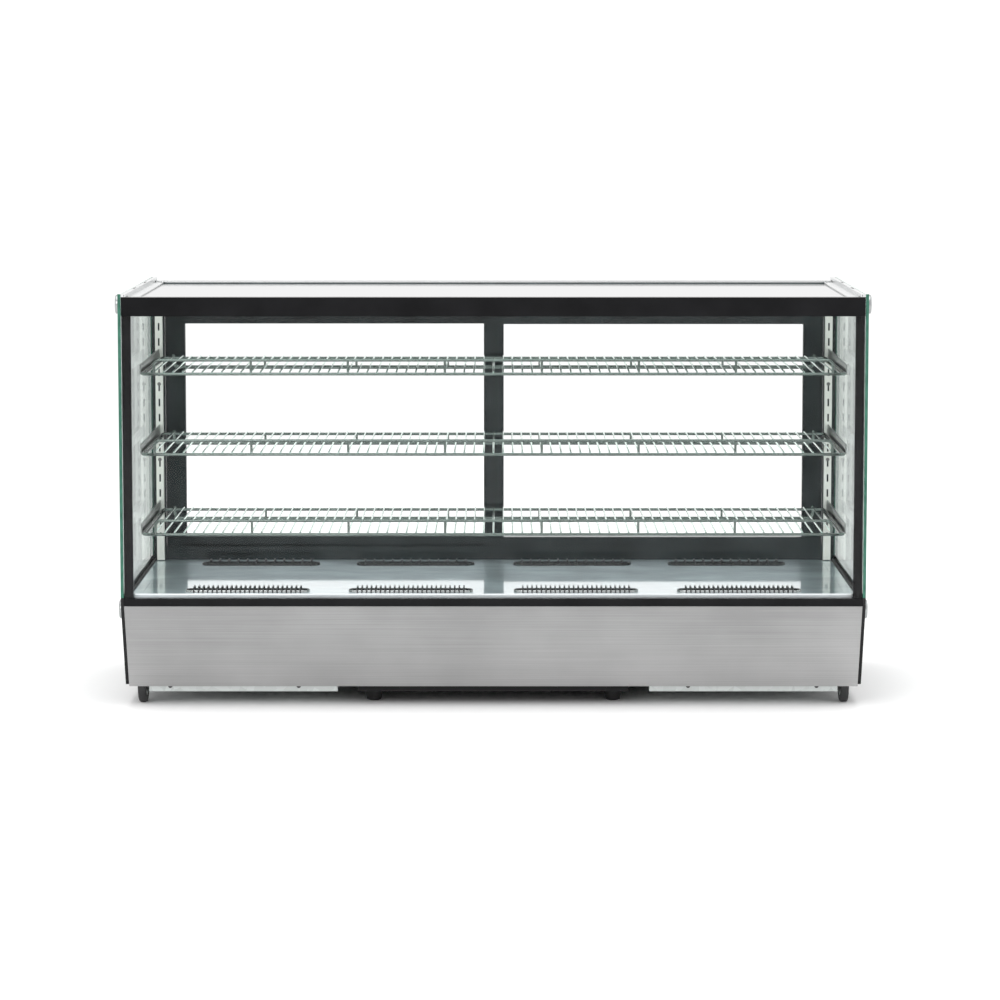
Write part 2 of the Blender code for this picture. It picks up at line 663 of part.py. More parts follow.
def make_front_rail():
    """Black rail along the top front edge: it holds the front glass and carries the top glass."""
    lip, wall = back(GROOVE_BACK), back(GROOVE_BACK + GLASS + 2 * SLIDE_PLAY)
    groove_top = RAIL_LOW + GROOVE_DEEP
    outline = [(back(0), RAIL_LOW), (lip, RAIL_LOW), (lip, groove_top), (wall, groove_top),
               (wall, RAIL_LOW),
               (back(RAIL_DEPTH), RAIL_LOW), (back(RAIL_DEPTH), LEDGE_TOP - LEDGE_THICK),
               (back(RAIL_DEPTH + LEDGE_DEEP), LEDGE_TOP - LEDGE_THICK),
               (back(RAIL_DEPTH + LEDGE_DEEP), LEDGE_TOP), (back(RAIL_DEPTH), LEDGE_TOP),
               (back(RAIL_DEPTH), RAIL_TOP), (back(0), RAIL_TOP)]
    plate("front_rail", "YZ", [outline], -FIT_HALF, FIT_HALF, "black_gloss")


def make_top_channels():
    """Aluminium channels that hold the side edges of the top glass, with an upstand from front to back."""
    start = RAIL_DEPTH + LEDGE_DEEP + GAP
    end = FRAME_FRONT - LEDGE_DEEP - GAP
    for name, side in (("left_top_channel", -1), ("right_top_channel", 1)):
        outer, web, inner = FIT_HALF, FIT_HALF - CHANNEL_WEB, FIT_HALF - CHANNEL_WIDE
        foot = LEDGE_TOP - LEDGE_THICK
        profile = [(outer, foot), (inner, foot), (inner, LEDGE_TOP),
                   (web, LEDGE_TOP), (web, TOP_GLASS_TOP + GAP), (inner, TOP_GLASS_TOP + GAP),
                   (inner, TOP_GLASS_TOP + GAP + CHANNEL_LAP), (web, TOP_GLASS_TOP + GAP + CHANNEL_LAP),
                   (web, RAIL_TOP + 2 * SHEET), (outer, RAIL_TOP + 2 * SHEET)]
        outline = [(side * x, z) for x, z in profile]
        channel = plate(name, "XZ", [outline], back(start), back(end), "aluminium")
        faces = sorted((side * (outer - GAP), side * (web + GAP)))
        upstand = box(name + "_upstand", (faces[0], back(GAP), RAIL_TOP + GAP),
                      (faces[1], back(DEPTH - GAP), HEIGHT - GAP))
        combine(channel, [upstand], "UNION")


def make_corner_posts():
    """Black angles behind the front glass, one at each front corner."""
    start = GROOVE_BACK + GLASS + 2 * SLIDE_PLAY
    for name, side in (("left_corner_post", -1), ("right_corner_post", 1)):
        outer, inner = side * FIT_HALF, side * (FIT_HALF - CORNER_WIDE)
        wall = side * (FIT_HALF - 2 * SHEET)
        near, far, leg = back(start), back(start + CORNER_DEEP), back(start + 2 * SHEET)
        outline = [(outer, near), (inner, near), (inner, leg), (wall, leg), (wall, far), (outer, far)]
        plate(name, "XY", [outline], TRIM_TOP + GAP, RAIL_LOW - GAP, "black_frame")


# ---- rear frame and doors ------------------------------------------------------------------------
def track_edges():
    """Distances behind the front face where the two door grooves begin and end, inner groove first."""
    inner = FRAME_FRONT + TRACK_WALL
    outer = inner + TRACK_WIDE + TRACK_RIB
    return (inner, inner + TRACK_WIDE), (outer, outer + TRACK_WIDE)


def track_outline(closed, mouth, floor):
    """(y, z) outline of a two-groove track whose grooves run from its mouth to their floor."""
    points = [(back(FRAME_FRONT), closed), (back(FRAME_FRONT), mouth)]
    for near, far in track_edges():
        points += [(back(near), mouth), (back(near), floor), (back(far), floor), (back(far), mouth)]
    return points + [(back(DEPTH), mouth), (back(DEPTH), closed)]


def make_rear_frame():
    """Header and sill with the door tracks, the two posts and the bright strip on the header."""
    sill_floor = DOOR_LOW - SLIDE_PLAY
    plate("rear_sill", "YZ", [track_outline(SILL_LOW, SILL_TOP, sill_floor)], -FIT_HALF, FIT_HALF,
          "black_frame")
    header_floor = DOOR_HIGH + DOOR_LIFT
    outline = track_outline(HEADER_TOP, HEADER_LOW, header_floor)
    ledge = [(back(FRAME_FRONT), LEDGE_TOP), (back(FRAME_FRONT - LEDGE_DEEP), LEDGE_TOP),
             (back(FRAME_FRONT - LEDGE_DEEP), LEDGE_TOP - LEDGE_THICK),
             (back(FRAME_FRONT), LEDGE_TOP - LEDGE_THICK)]
    plate("rear_header", "YZ", [outline[:1] + ledge + outline[1:]], -FIT_HALF, FIT_HALF, "black_frame")
    box("rear_top_trim", (-FIT_HALF, back(FRAME_FRONT - GAP), HEADER_TOP + GAP),
        (FIT_HALF, back(DEPTH), HEADER_TOP + GAP + HEADER_TRIM), "aluminium")
    for name, side in (("left_rear_post", -1), ("right_rear_post", 1)):
        faces = sorted((side * FIT_HALF, side * POST_INNER))
        box(name, (faces[0], back(FRAME_FRONT), SILL_TOP + GAP), (faces[1], back(DEPTH), HEADER_LOW - GAP),
            "black_frame")


def make_door(name, side, track):
    """A sliding door: a black frame with a recessed pull in its outer stile, and its pane."""
    near = back(track[0] + SLIDE_PLAY)
    far = near + DOOR_THICK
    edges = sorted((side * DOOR_OUTER, side * (DOOR_OUTER - DOOR_WIDE)))
    opening = (edges[0] + DOOR_STILE, OPENING_LOW, edges[1] - DOOR_STILE, OPENING_HIGH)
    frame = plate(name + "_frame", "XZ", [rectangle(edges[0], DOOR_LOW, edges[1], DOOR_HIGH),
                                          rectangle(*opening)], near, far, "black_frame")
    middle = (near + far) / 2
    bite = GLASS_BITE - GAP
    box(name + "_glass", (opening[0] - bite, middle - GLASS / 2, opening[1] - bite),
        (opening[2] + bite, middle + GLASS / 2, opening[3] + bite), "clear_glass")
    half_groove = GLASS / 2 + GAP
    groove = box(name + "_groove_cut",
                 (opening[0] - GLASS_BITE, middle - half_groove, opening[1] - GLASS_BITE),
                 (opening[2] + GLASS_BITE, middle + half_groove, opening[3] + GLASS_BITE))
    pull_x = side * (DOOR_OUTER - (DOOR_STILE - GLASS_BITE) / 2)
    pull_z = (OPENING_LOW + OPENING_HIGH) / 2
    outline = [(pull_x + across, pull_z + along) for along, across in obround(0, 0, PULL_TALL, PULL_WIDE)]
    pull = plate(name + "_pull_cut", "XZ", [outline], far - PULL_DEEP, far + SHEET)
    combine(frame, [groove, pull], "DIFFERENCE")
    for piece in (frame, bpy.data.objects[name + "_glass"]):
        hang_on(piece, name + "_slide", (pull_x, middle, pull_z))


# ---- shelves and their supports ------------------------------------------------------------------
def slot_heights():
    """Centres of the pilaster slots, from the lowest up."""
    count = int((PILASTER_HIGH - SLOT_PITCH - FIRST_SLOT) / SLOT_PITCH) + 1
    return [FIRST_SLOT + number * SLOT_PITCH for number in range(count)]


def make_pilasters():
    """Slotted uprights on the rear posts: a plate with slots and two side flanges."""
    for name, side in (("left_pilaster", -1), ("right_pilaster", 1)):
        centre = side * PILASTER_X
        half = PILASTER_WIDE / 2
        front = back(PILASTER_FACE)
        slots = [((centre - SLOT_WIDE / 2, front - SHEET, height - SLOT_TALL / 2),
                  (centre + SLOT_WIDE / 2, front + 2 * SHEET, height + SLOT_TALL / 2))
                 for height in slot_heights()]
        face = slotted_block(name, (centre - half + SHEET / 2, front, PILASTER_LOW + SHEET / 2),
                             (centre + half - SHEET / 2, front + SHEET, PILASTER_HIGH - SHEET / 2), slots,
                             "pilaster_paint")
        flanges = []
        for edge in (-1, 1):
            sides = sorted((centre + edge * half, centre + edge * (half - SHEET)))
            flanges.append(box(f"{name}_flange_{edge}", (sides[0], front + SHEET / 4, PILASTER_LOW),
                               (sides[1], back(FRAME_FRONT - GAP), PILASTER_HIGH)))
        combine(face, flanges, "UNION")


def make_bracket(name, side, level):
    """Cantilever bracket: a web hooked into the pilaster slot at its level, and a lip for the side wire."""
    low = level - FRAME_WIRE / 2 - GAP
    face = back(PILASTER_FACE)
    hook_back = face + SHEET + GAP + BRACKET_HOOK
    hook_top = level + SLOT_TALL / 2 - GAP
    hook_low = level - SLOT_TALL / 2 + GAP
    notch = hook_low + SLOT_TALL * 0.35
    web_low = low - BRACKET_THICK
    web_back = face - GAP
    outline = [(back(BRACKET_FRONT), web_low), (web_back, web_low), (web_back, notch),
               (face + SHEET + GAP, notch), (face + SHEET + GAP, hook_low), (hook_back, hook_low),
               (hook_back, hook_top), (web_back, hook_top), (web_back, level + BRACKET_RISE),
               (back(BRACKET_FRONT), level + BRACKET_RISE * 0.85)]
    half = BRACKET_THICK / 2
    web_faces = sorted((side * (PILASTER_X - half), side * (PILASTER_X + half)))
    web = plate(name, "YZ", [outline], *web_faces, "bracket_zinc")
    lip_edges = sorted((side * PILASTER_X, side * (PILASTER_X - BRACKET_LIP)))
    lip = box(name + "_lip", (lip_edges[0], back(BRACKET_FRONT), web_low),
              (lip_edges[1], face - PILASTER_DEEP, low))
    combine(web, [lip], "UNION")


def post_places(edge):
    """X of the guard posts, every so many cross wires and no further out than the edge."""
    step = POST_EVERY * WIRE_PITCH
    count = int((edge - step / 2) / step) + 1
    outward = [step / 2 + number * step for number in range(count)]
    return [-x for x in reversed(outward)] + outward


def wire_ladder(name, posts, low, high, window_low, window_high, near):
    """A level wire and its posts: an upright block with a window between each two posts.

    It is a little thinner than the shelf's frame wire, and its plain edge ends inside that wire.
    """
    half = posts[-1] + FRAME_WIRE / 2
    inset = FRAME_WIRE * 0.08
    windows = [((first + FRAME_WIRE / 2, near - FRAME_WIRE, window_low),
                (second - FRAME_WIRE / 2, near + 2 * FRAME_WIRE, window_high))
               for first, second in zip(posts, posts[1:])]
    return slotted_block(name, (-half, near + inset, low), (half, near + FRAME_WIRE - inset, high), windows)


def make_shelf(name, level):
    """Wire shelf: slotted grid, front guard and rear stiffening loop, joined into one piece."""
    low, high = level - FRAME_WIRE / 2, level + FRAME_WIRE / 2 + CROSS_RISE
    near, far = back(SHELF_FRONT), back(SHELF_BACK)
    half_count = int((SHELF_HALF - FRAME_WIRE - CROSS_WIRE) / WIRE_PITCH)
    wires = [number * WIRE_PITCH for number in range(-half_count, half_count + 1)]
    ends = [-SHELF_HALF + FRAME_WIRE / 2] + wires + [SHELF_HALF - FRAME_WIRE / 2]
    slots = []
    for first, second in zip(ends, ends[1:]):
        left = first + (FRAME_WIRE if first == ends[0] else CROSS_WIRE) / 2
        right = second - (FRAME_WIRE if second == ends[-1] else CROSS_WIRE) / 2
        slots.append(((left, near + FRAME_WIRE, low - FRAME_WIRE),
                      (right, far - FRAME_WIRE, high + FRAME_WIRE)))
    grid = slotted_block(name, (-SHELF_HALF, near, low), (SHELF_HALF, far, high), slots, "shelf_wire")
    posts = post_places(SHELF_HALF)
    sunk = FRAME_WIRE / 4
    top, foot = level + GUARD_HIGH + FRAME_WIRE / 2, level - REAR_LOOP_LOW - FRAME_WIRE / 2
    guard = wire_ladder(name + "_guard", posts, level - sunk, top, level + sunk, top - FRAME_WIRE, near)
    loop = wire_ladder(name + "_loop", posts, foot, level + sunk, foot + FRAME_WIRE, level - sunk,
                       far - FRAME_WIRE)
    combine(grid, [guard, loop], "UNION")
    hang_on(grid, name + "_lift", (0, (near + far) / 2, level))


# ---- heating, air and light ----------------------------------------------------------------------
def heater_route():
    """Middle line of the sheathed element: level runs joined by half-round bends, ends at the rear."""
    runs = [back(distance) for distance in HEATER_RUNS]
    bend = (runs[1] - runs[0]) / 2
    reach = HEATER_HALF - bend
    points = []
    for number, run in enumerate(runs):
        side = 1 if number % 2 == 0 else -1
        points.append(Vector((-side * reach, run, HEATER_HIGH)))
        if number == len(runs) - 1:
            break
        for step in range(9):
            angle = math.pi * (step / 8 - 0.5)
            points.append(Vector((side * (reach + bend * math.cos(angle)),
                                  run + bend + bend * math.sin(angle), HEATER_HIGH)))
    points.append(Vector((-reach - HEATER_TUBE * 3, runs[-1], HEATER_HIGH)))
    return points


def make_heater():
    """Sheathed heating element on a folded stand."""
    curve = bpy.data.curves.new("heating_element", "CURVE")
    curve.dimensions = "3D"
    curve.bevel_depth = HEATER_TUBE / 2
    curve.bevel_resolution = 2
    curve.use_fill_caps = True
    route = heater_route()
    spline = curve.splines.new("POLY")
    spline.points.add(len(route) - 1)
    for point, place in zip(spline.points, route):
        point.co = (*place, 1.0)
    round_shading(curve_to_piece("heating_element", curve, Matrix.Identity(4), "heater_steel"))
    top = HEATER_HIGH - HEATER_TUBE / 2 - GAP - SHEET / 2
    floor = BODY_CLEAR + SHEET + GAP + SHEET / 2
    low_y, high_y = back(HEATER_RUNS[0] - STAND_REACH), back(HEATER_RUNS[-1] + STAND_REACH)
    toe = STAND_WIDE
    folded_sheet("heater_stand", [(low_y - toe, floor), (low_y, floor), (low_y, top), (high_y, top),
                                  (high_y, floor), (high_y + toe, floor)],
                 FAN_SIDE, FAN_SIDE + STAND_WIDE, "galvanised")


def make_fan():
    """Fan on the chassis floor: a square housing and a rotor that turns about a vertical axis."""
    low = BODY_CLEAR + SHEET + GAP
    high = low + FAN_THICK
    middle = Vector((0, back(FAN_BACK), (low + high) / 2))
    half = FAN_SIDE / 2
    bore = FAN_BORE
    outline = rectangle(-half, middle.y - half, half, middle.y + half)
    hole = [(bore * math.cos(turn * math.tau / 24), middle.y + bore * math.sin(turn * math.tau / 24))
            for turn in range(24)]
    housing = plate("fan_housing", "XY", [outline, hole], low, high, "black_plastic")
    struts = []
    for number in range(2):
        strut = box(f"fan_strut_{number}", (-bore - SHEET, -2 * SHEET, low),
                    (bore + SHEET, 2 * SHEET, low + 2 * SHEET))
        strut.location.y = middle.y
        strut.rotation_euler.z = math.pi * (0.25 + number / 2)
        struts.append(strut)
    combine(housing, struts, "UNION")
    rotor = cylinder("fan_rotor", FAN_HUB, (0, middle.y, low + 3 * SHEET), (0, middle.y, high - GAP),
                     "black_plastic", segments=18)
    blades = []
    reach = (FAN_HUB + bore - FAN_PLAY) / 2
    length = bore - FAN_PLAY - FAN_HUB + SHEET * 2
    lift = Matrix.Translation(middle + Vector((0, 0, 2 * SHEET)))
    outwards = Matrix.Translation((reach - SHEET, 0, 0)) @ Matrix.Rotation(BLADE_PITCH, 4, "X")
    for number in range(FAN_BLADES):
        turn = number * math.tau / FAN_BLADES
        blade = box(f"fan_blade_{number}", (-length / 2, -SHEET / 2, -FAN_THICK * 0.3),
                    (length / 2, SHEET / 2, FAN_THICK * 0.3))
        blade.matrix_world = lift @ Matrix.Rotation(turn, 4, "Z") @ outwards
        blades.append(blade)
    combine(rotor, blades, "UNION")


def make_light():
    """Light bar under the front rail's ledge: an aluminium channel and its lens."""
    near = back(RAIL_DEPTH + GAP)
    high = LEDGE_TOP - LEDGE_THICK - GAP
    low = high - LIGHT_HIGH
    middle = SHEET / 2
    front_wall, rear_wall = near + middle, near + LIGHT_DEEP - middle
    folded_sheet("light_housing", [(front_wall, low), (front_wall, high - middle),
                                   (rear_wall, high - middle), (rear_wall, low)],
                 -LIGHT_HALF, LIGHT_HALF, "aluminium")
    box("light_lens", (-LIGHT_HALF + SHEET, near + SHEET + GAP, low + SHEET),
        (LIGHT_HALF - SHEET, near + LIGHT_DEEP - SHEET - GAP, low + LIGHT_HIGH * 0.6), "light_lens")


# ---- controls ------------------------------------------------------------------------------------
def make_control_box():
    """Control plate and box set into the rear panel, with two switch pockets and the thermostat shaft."""
    face = back(REAR_PANEL_BACK) + GAP
    plate_back = face + 2 * SHEET
    wide, tall = CONTROL_WIDE / 2, CONTROL_TALL / 2
    control = box("control_box", (CONTROL_X - wide, face, CONTROL_Z - tall),
                  (CONTROL_X + wide, plate_back, CONTROL_Z + tall), "black_plastic")
    body_wide, body_tall = wide - CONTROL_RIM, tall - CONTROL_RIM
    body = box("control_body", (CONTROL_X - body_wide, face - CONTROL_BOX_DEEP, CONTROL_Z - body_tall),
               (CONTROL_X + body_wide, face + SHEET, CONTROL_Z + body_tall))
    shaft = cylinder("thermostat_shaft", SHAFT_RADIUS, (CONTROL_X + KNOB_X, face, CONTROL_Z),
                     (CONTROL_X + KNOB_X, plate_back + KNOB_LONG * 0.6, CONTROL_Z), segments=12)
    combine(control, [body, shaft], "UNION")
    pockets = []
    for name, offset in zip(SWITCH_NAMES, SWITCH_XS):
        half_wide, half_tall = SWITCH_WIDE / 2 + GAP, SWITCH_TALL / 2 + 3 * GAP
        centre = CONTROL_X + offset
        pockets.append(box(name + "_pocket",
                           (centre - half_wide, plate_back - SWITCH_DEEP, CONTROL_Z - half_tall),
                           (centre + half_wide, plate_back + SHEET, CONTROL_Z + half_tall)))
    combine(control, pockets, "DIFFERENCE")


def make_switch(name, offset):
    """Rocker with two faces that meet over its pivot, resting with its foot pressed in."""
    plate_back = back(REAR_PANEL_BACK) + GAP + 2 * SHEET
    pivot = Vector((CONTROL_X + offset, plate_back - SWITCH_DEEP * 0.35, CONTROL_Z))
    half = SWITCH_TALL / 2 - 2 * GAP
    end_rise = SWITCH_RISE + math.tan(SWITCH_TILT) * half
    outline = [(-SWITCH_HEEL, -half * 0.8), (end_rise, -half), (SWITCH_RISE, 0), (end_rise, half),
               (-SWITCH_HEEL, half * 0.8)]
    turn = Matrix.Rotation(-SWITCH_TILT, 2)
    turned_outline = [tuple(turn @ Vector(place)) for place in outline]
    places = [(pivot.y + along, pivot.z + up) for along, up in turned_outline]
    rocker = plate(name, "YZ", [places], pivot.x - SWITCH_WIDE / 2, pivot.x + SWITCH_WIDE / 2,
                   "black_plastic")
    hang_on(rocker, name + "_pivot", pivot)


def make_knob():
    """Thermostat knob with a raised grip, on the shaft of the control box."""
    start = back(REAR_PANEL_BACK) + GAP + 2 * SHEET + GAP
    centre = (CONTROL_X + KNOB_X, start, CONTROL_Z)
    grip, socket = KNOB_GRIP_RADIUS, SHAFT_RADIUS + GAP
    profile = [(0, KNOB_BODY), (grip, KNOB_BODY), (grip, KNOB_SKIRT * 1.5), (KNOB_RADIUS, KNOB_SKIRT),
               (KNOB_RADIUS, 0), (socket, 0), (socket, KNOB_SOCKET), (0, KNOB_SOCKET)]
    knob = round_shading(turned("thermostat_knob", profile, centre, (0, 1, 0), "black_plastic", steps=24))
    half_wide, half_long = KNOB_RIDGE_WIDE / 2, grip * 0.9
    ridge = box("knob_ridge", (centre[0] - half_wide, start + KNOB_BODY - SHEET, CONTROL_Z - half_long),
                (centre[0] + half_wide, start + KNOB_LONG, CONTROL_Z + half_long))
    combine(knob, [ridge], "UNION")


def make_gland():
    """Cord gland through the rear panel: nut inside, collar and domed cap outside, with the cord's bore."""
    wall = SHEET + 2 * GAP
    start = back(REAR_PANEL_BACK) + GAP
    profile = [(GLAND_BORE, GLAND_LONG), (GLAND_BORE * 1.6, GLAND_LONG),
               (GLAND_RADIUS, GLAND_LONG - GLAND_DOME), (GLAND_RADIUS, GLAND_FLANGE_THICK),
               (GLAND_FLANGE, GLAND_FLANGE_THICK), (GLAND_FLANGE, 0),
               (GLAND_THREAD, 0), (GLAND_THREAD, -wall), (GLAND_FLANGE, -wall),
               (GLAND_FLANGE, -wall - GLAND_NUT), (GLAND_BORE, -wall - GLAND_NUT), (GLAND_BORE, GLAND_LONG)]
    gland = turned("cord_gland", profile, (GLAND_X, start, GLAND_Z), (0, 1, 0), "black_plastic", steps=16)
    round_shading(gland)


# ---- feet and wheels -----------------------------------------------------------------------------
def make_feet():
    """Cone feet of rubber under the centre plate, with a moulded recess underneath."""
    top = TRAY_CLEAR - GAP
    profile = [(0, top), (FOOT_TOP_RADIUS, top), (FOOT_LOW_RADIUS, FOOT_EDGE),
               (FOOT_LOW_RADIUS - FOOT_EDGE, 0), (FOOT_LOW_RADIUS * 0.5, 0),
               (FOOT_LOW_RADIUS * 0.4, FOOT_EDGE), (0, FOOT_EDGE)]
    for end, distance in zip(("front", "rear"), FOOT_BACKS):
        for name, side in (("left", -1), ("right", 1)):
            place = (side * FOOT_X, back(distance), 0)
            round_shading(turned(f"{name}_{end}_foot", profile, place, (0, 0, 1), "rubber", steps=16))


def make_wheels():
    """Fixed wheels on the chassis studs, outboard of the trays."""
    edge = WHEEL_RADIUS - WHEEL_EDGE
    bore = AXLE_RADIUS + GAP
    half = WHEEL_WIDE / 2
    profile = [(bore, half), (edge, half), (WHEEL_RADIUS, half - WHEEL_EDGE),
               (WHEEL_RADIUS, WHEEL_EDGE - half), (edge, -half), (bore, -half), (bore, half)]
    for end, distance in zip(("front", "rear"), WHEEL_BACKS):
        for name, side in (("left", -1), ("right", 1)):
            place = (side * (WHEEL_IN + half), back(distance), WHEEL_RADIUS)
            round_shading(turned(f"{name}_{end}_wheel", profile, place, (1, 0, 0), "rubber", steps=24))


def main():
    """Builds every piece of the case in an empty scene."""
    for old in list(bpy.data.objects):
        bpy.data.objects.remove(old)
    make_chassis()
    make_base_trays()
    make_front_panel()
    make_front_trim()
    make_base_sides()
    make_rear_panel()
    make_deck()
    make_air_grille("front_air_grille", VENT_FRONT, FRONT_VENT_BARS)
    make_air_grille("rear_air_grille", VENT_BACK, REAR_VENT_BARS)
    make_glass()
    make_front_rail()
    make_top_channels()
    make_corner_posts()
    make_rear_frame()
    inner_track, outer_track = track_edges()
    make_door("left_door", -1, outer_track)
    make_door("right_door", 1, inner_track)
    make_pilasters()
    for level_name, level in zip(SHELF_NAMES, SHELF_LEVELS):
        make_shelf(f"{level_name}_shelf", level)
        make_bracket(f"{level_name}_left_bracket", -1, level)
        make_bracket(f"{level_name}_right_bracket", 1, level)
    make_heater()
    make_fan()
    make_light()
    make_control_box()
    for name, offset in zip(SWITCH_NAMES, SWITCH_XS):
        make_switch(name, offset)
    make_knob()
    make_gland()
    make_feet()
    make_wheels()


main()
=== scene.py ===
"""Looks of a countertop hot food display case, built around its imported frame.

Metres, +Z up, the front glass faces -Y. Every new piece is a numpy surface placed from the frame's own nodes.
"""
import math

import bmesh
import bpy
import numpy as np
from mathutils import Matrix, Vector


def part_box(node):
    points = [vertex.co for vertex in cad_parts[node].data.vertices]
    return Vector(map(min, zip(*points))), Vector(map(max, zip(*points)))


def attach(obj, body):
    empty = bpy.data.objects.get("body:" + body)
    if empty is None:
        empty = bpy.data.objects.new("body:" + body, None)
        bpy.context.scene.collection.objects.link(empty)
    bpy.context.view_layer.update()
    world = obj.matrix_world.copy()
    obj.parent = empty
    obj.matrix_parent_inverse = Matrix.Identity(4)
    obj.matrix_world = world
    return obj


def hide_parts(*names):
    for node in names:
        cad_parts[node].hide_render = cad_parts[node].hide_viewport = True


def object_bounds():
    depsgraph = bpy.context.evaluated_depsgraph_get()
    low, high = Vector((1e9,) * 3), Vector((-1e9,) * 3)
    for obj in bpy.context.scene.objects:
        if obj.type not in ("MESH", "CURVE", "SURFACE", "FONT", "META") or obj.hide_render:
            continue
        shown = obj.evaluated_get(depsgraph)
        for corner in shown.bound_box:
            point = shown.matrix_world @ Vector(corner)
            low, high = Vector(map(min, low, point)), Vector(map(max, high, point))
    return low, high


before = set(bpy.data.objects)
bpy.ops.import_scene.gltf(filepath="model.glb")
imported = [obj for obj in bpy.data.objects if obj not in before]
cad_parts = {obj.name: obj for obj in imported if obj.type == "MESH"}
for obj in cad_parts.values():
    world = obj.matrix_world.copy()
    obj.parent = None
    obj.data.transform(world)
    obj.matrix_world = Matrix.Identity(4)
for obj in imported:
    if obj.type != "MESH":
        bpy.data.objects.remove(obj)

bl_info = {
    "name": "Hot food display case",
    "version": (1, 0, 0),
    "blender": (4, 5, 0),
    "location": "View3D > Sidebar > Display case",
    "description": "Builds the wire shelves, vents, trim and finishes of a glass hot food display case",
    "category": "Object",
}

CAD_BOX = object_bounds()
CASE = "case"
SIDES = (("left", -1), ("right", 1))
LEVELS = ("lower", "middle", "upper")
SHELVES = tuple(level + "_shelf" for level in LEVELS)
WHEELS = ("left_front_wheel", "right_front_wheel", "left_rear_wheel", "right_rear_wheel")
FEET = ("left_front_foot", "right_front_foot", "left_rear_foot", "right_rear_foot")
DECK_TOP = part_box("rear_sill")[0].z + 0.0012    # the sill's foot lies this far below the deck's face
FRONT, BACK = CAD_BOX[0].y, CAD_BOX[1].y
GLASS_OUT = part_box("right_side_glass")[1].x
GLASS_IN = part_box("right_side_glass")[0].x

GUARD_POSTS = 8                             # uprights of a shelf's guard wire, its two bent ends among them
WELD = 0.0005                               # the cross wires sink this far into the frame wires
VENT_RIBS = {"front_air_grille": 24, "rear_air_grille": 12}     # ribs in each vent of a row
VENT_PLACES = (-1, -0.3362, 0.3362, 1)      # a row's four vents, as shares of the last one's place
VENT_END = 0.012                            # clear length of the strip beyond the last vent
VENT_LIP, VENT_WALL = 0.0006, 0.0022        # light outer edge and full wall of a collar
COLLAR_SHARE = 0.7                          # a collar's height over the vent's
RIB_CROWN, RIB_DROP = 1.5, 0.55             # a rib's height over the vent's, and its fall towards the sides
RIB_RADIUS, RIB_SPREAD = 0.0012, 0.0010     # a rib's wire, and how far it reaches outside the collar
TYRE_INSIDE = 0.72                          # a tyre's inner radius over its outer one
BOLT_RADIUS = 0.0068
BRACKET_FOLD = 0.0101                       # a rivet's seat from the folded edge of its bracket
PILASTER_SCREW, TRAY_SCREW = (0.0032, 0.0012), (0.0036, 0.0012)     # radius and height of each head
RIVET, STUD, LAMP = (0.0034, 0.0014), (0.0034, 0.0026), (0.0036, 0.0022)
SCREW_HEIGHTS = (0.232, 0.365, 0.499, 0.6405)       # pilaster screws above the floor
RIVET_BACKS, RIVET_UP = (0.022, 0.150), 0.0128      # rivets behind and above a bracket's corner
TRAY_SCREWS = (0.3235, 0.5370)                      # tray screws from the middle
STUD_PLACES = (-0.1736, -0.0995, 0.0964, 0.1710)    # studs under the base, left to right
STUD_BACKS = (0.012, 0.422)                         # and behind the base plate's front edge
CAP_IN, LOW_CAP_BACK = 0.0195, 0.0300       # cap centres from the glass edge, and the lower front one
HIGH_CAP_DOWN, LOW_CAP_DOWN = 0.0125, 0.0080        # below the front rail's and the front panel's tops
SEAL_HALF, SEAL_ROUND, SEAL_SLACK, SEAL_DOWN = 0.0030, 0.0012, 0.0002, 0.0008   # section and seat of a seal
CHANNEL_FACE = 0.0023                       # the channels' ribbed face above the top glass
CHANNEL_ENDS = 0.038                        # the channels' face ribs stop short of their ends
FACE_RIBS, EDGE_RIBS = (0.0105, 0.0150, 0.0205), (0.0012, 0.0066)   # ribs from the channel's outer side
SLOT_BACKS, SLOT_HALF = (0.190, 0.378), 0.020       # channel slots behind the front, and half their length
KNOB_FLUTES, FLUTE_DEPTH = 24, 0.965        # grooves round the knob, and their radius over the ridges'
SLOT_IN, END_SLOT_IN, END_SLOT_DOWN = 0.0040, 0.0052, 0.0022    # slots from the channel's outer side and top
DIAL_MARKS, DIAL_SWEEP, DIAL_GAP = 10, 135, 0.0036  # marks, degrees to each side, and distance off the knob
LAMP_UP = 0.0130                            # the indicator lamp above the power switch
LAMP_PITCH = 0.0192                         # from one small lamp of the light strip to the next

FLOOR_HALF, FLOOR_LINES = 30.0, 9
SKY_POWER = 1.15
SOFTBOXES = (   # name, place, turn in degrees, size, watts
    ("top_softbox", (0.0, -0.3, 3.4), (0, 0, 0), 3.2, 60.0),
    ("front_softbox", (-1.6, -4.5, 2.6), (62, 0, -20), 2.4, 45.0),
)


# ---- sizes and colours a user may change ---------------------------------------------------------
def length(name, metres, note):
    """A length property in metres."""
    return bpy.props.FloatProperty(name=name, description=note, default=metres, min=0.0, unit="LENGTH",
                                   precision=4)


def colour(name, value, note):
    """A linear colour property."""
    return bpy.props.FloatVectorProperty(name=name, description=note, default=value, size=3, min=0.0, max=1.0,
                                         subtype="COLOR")


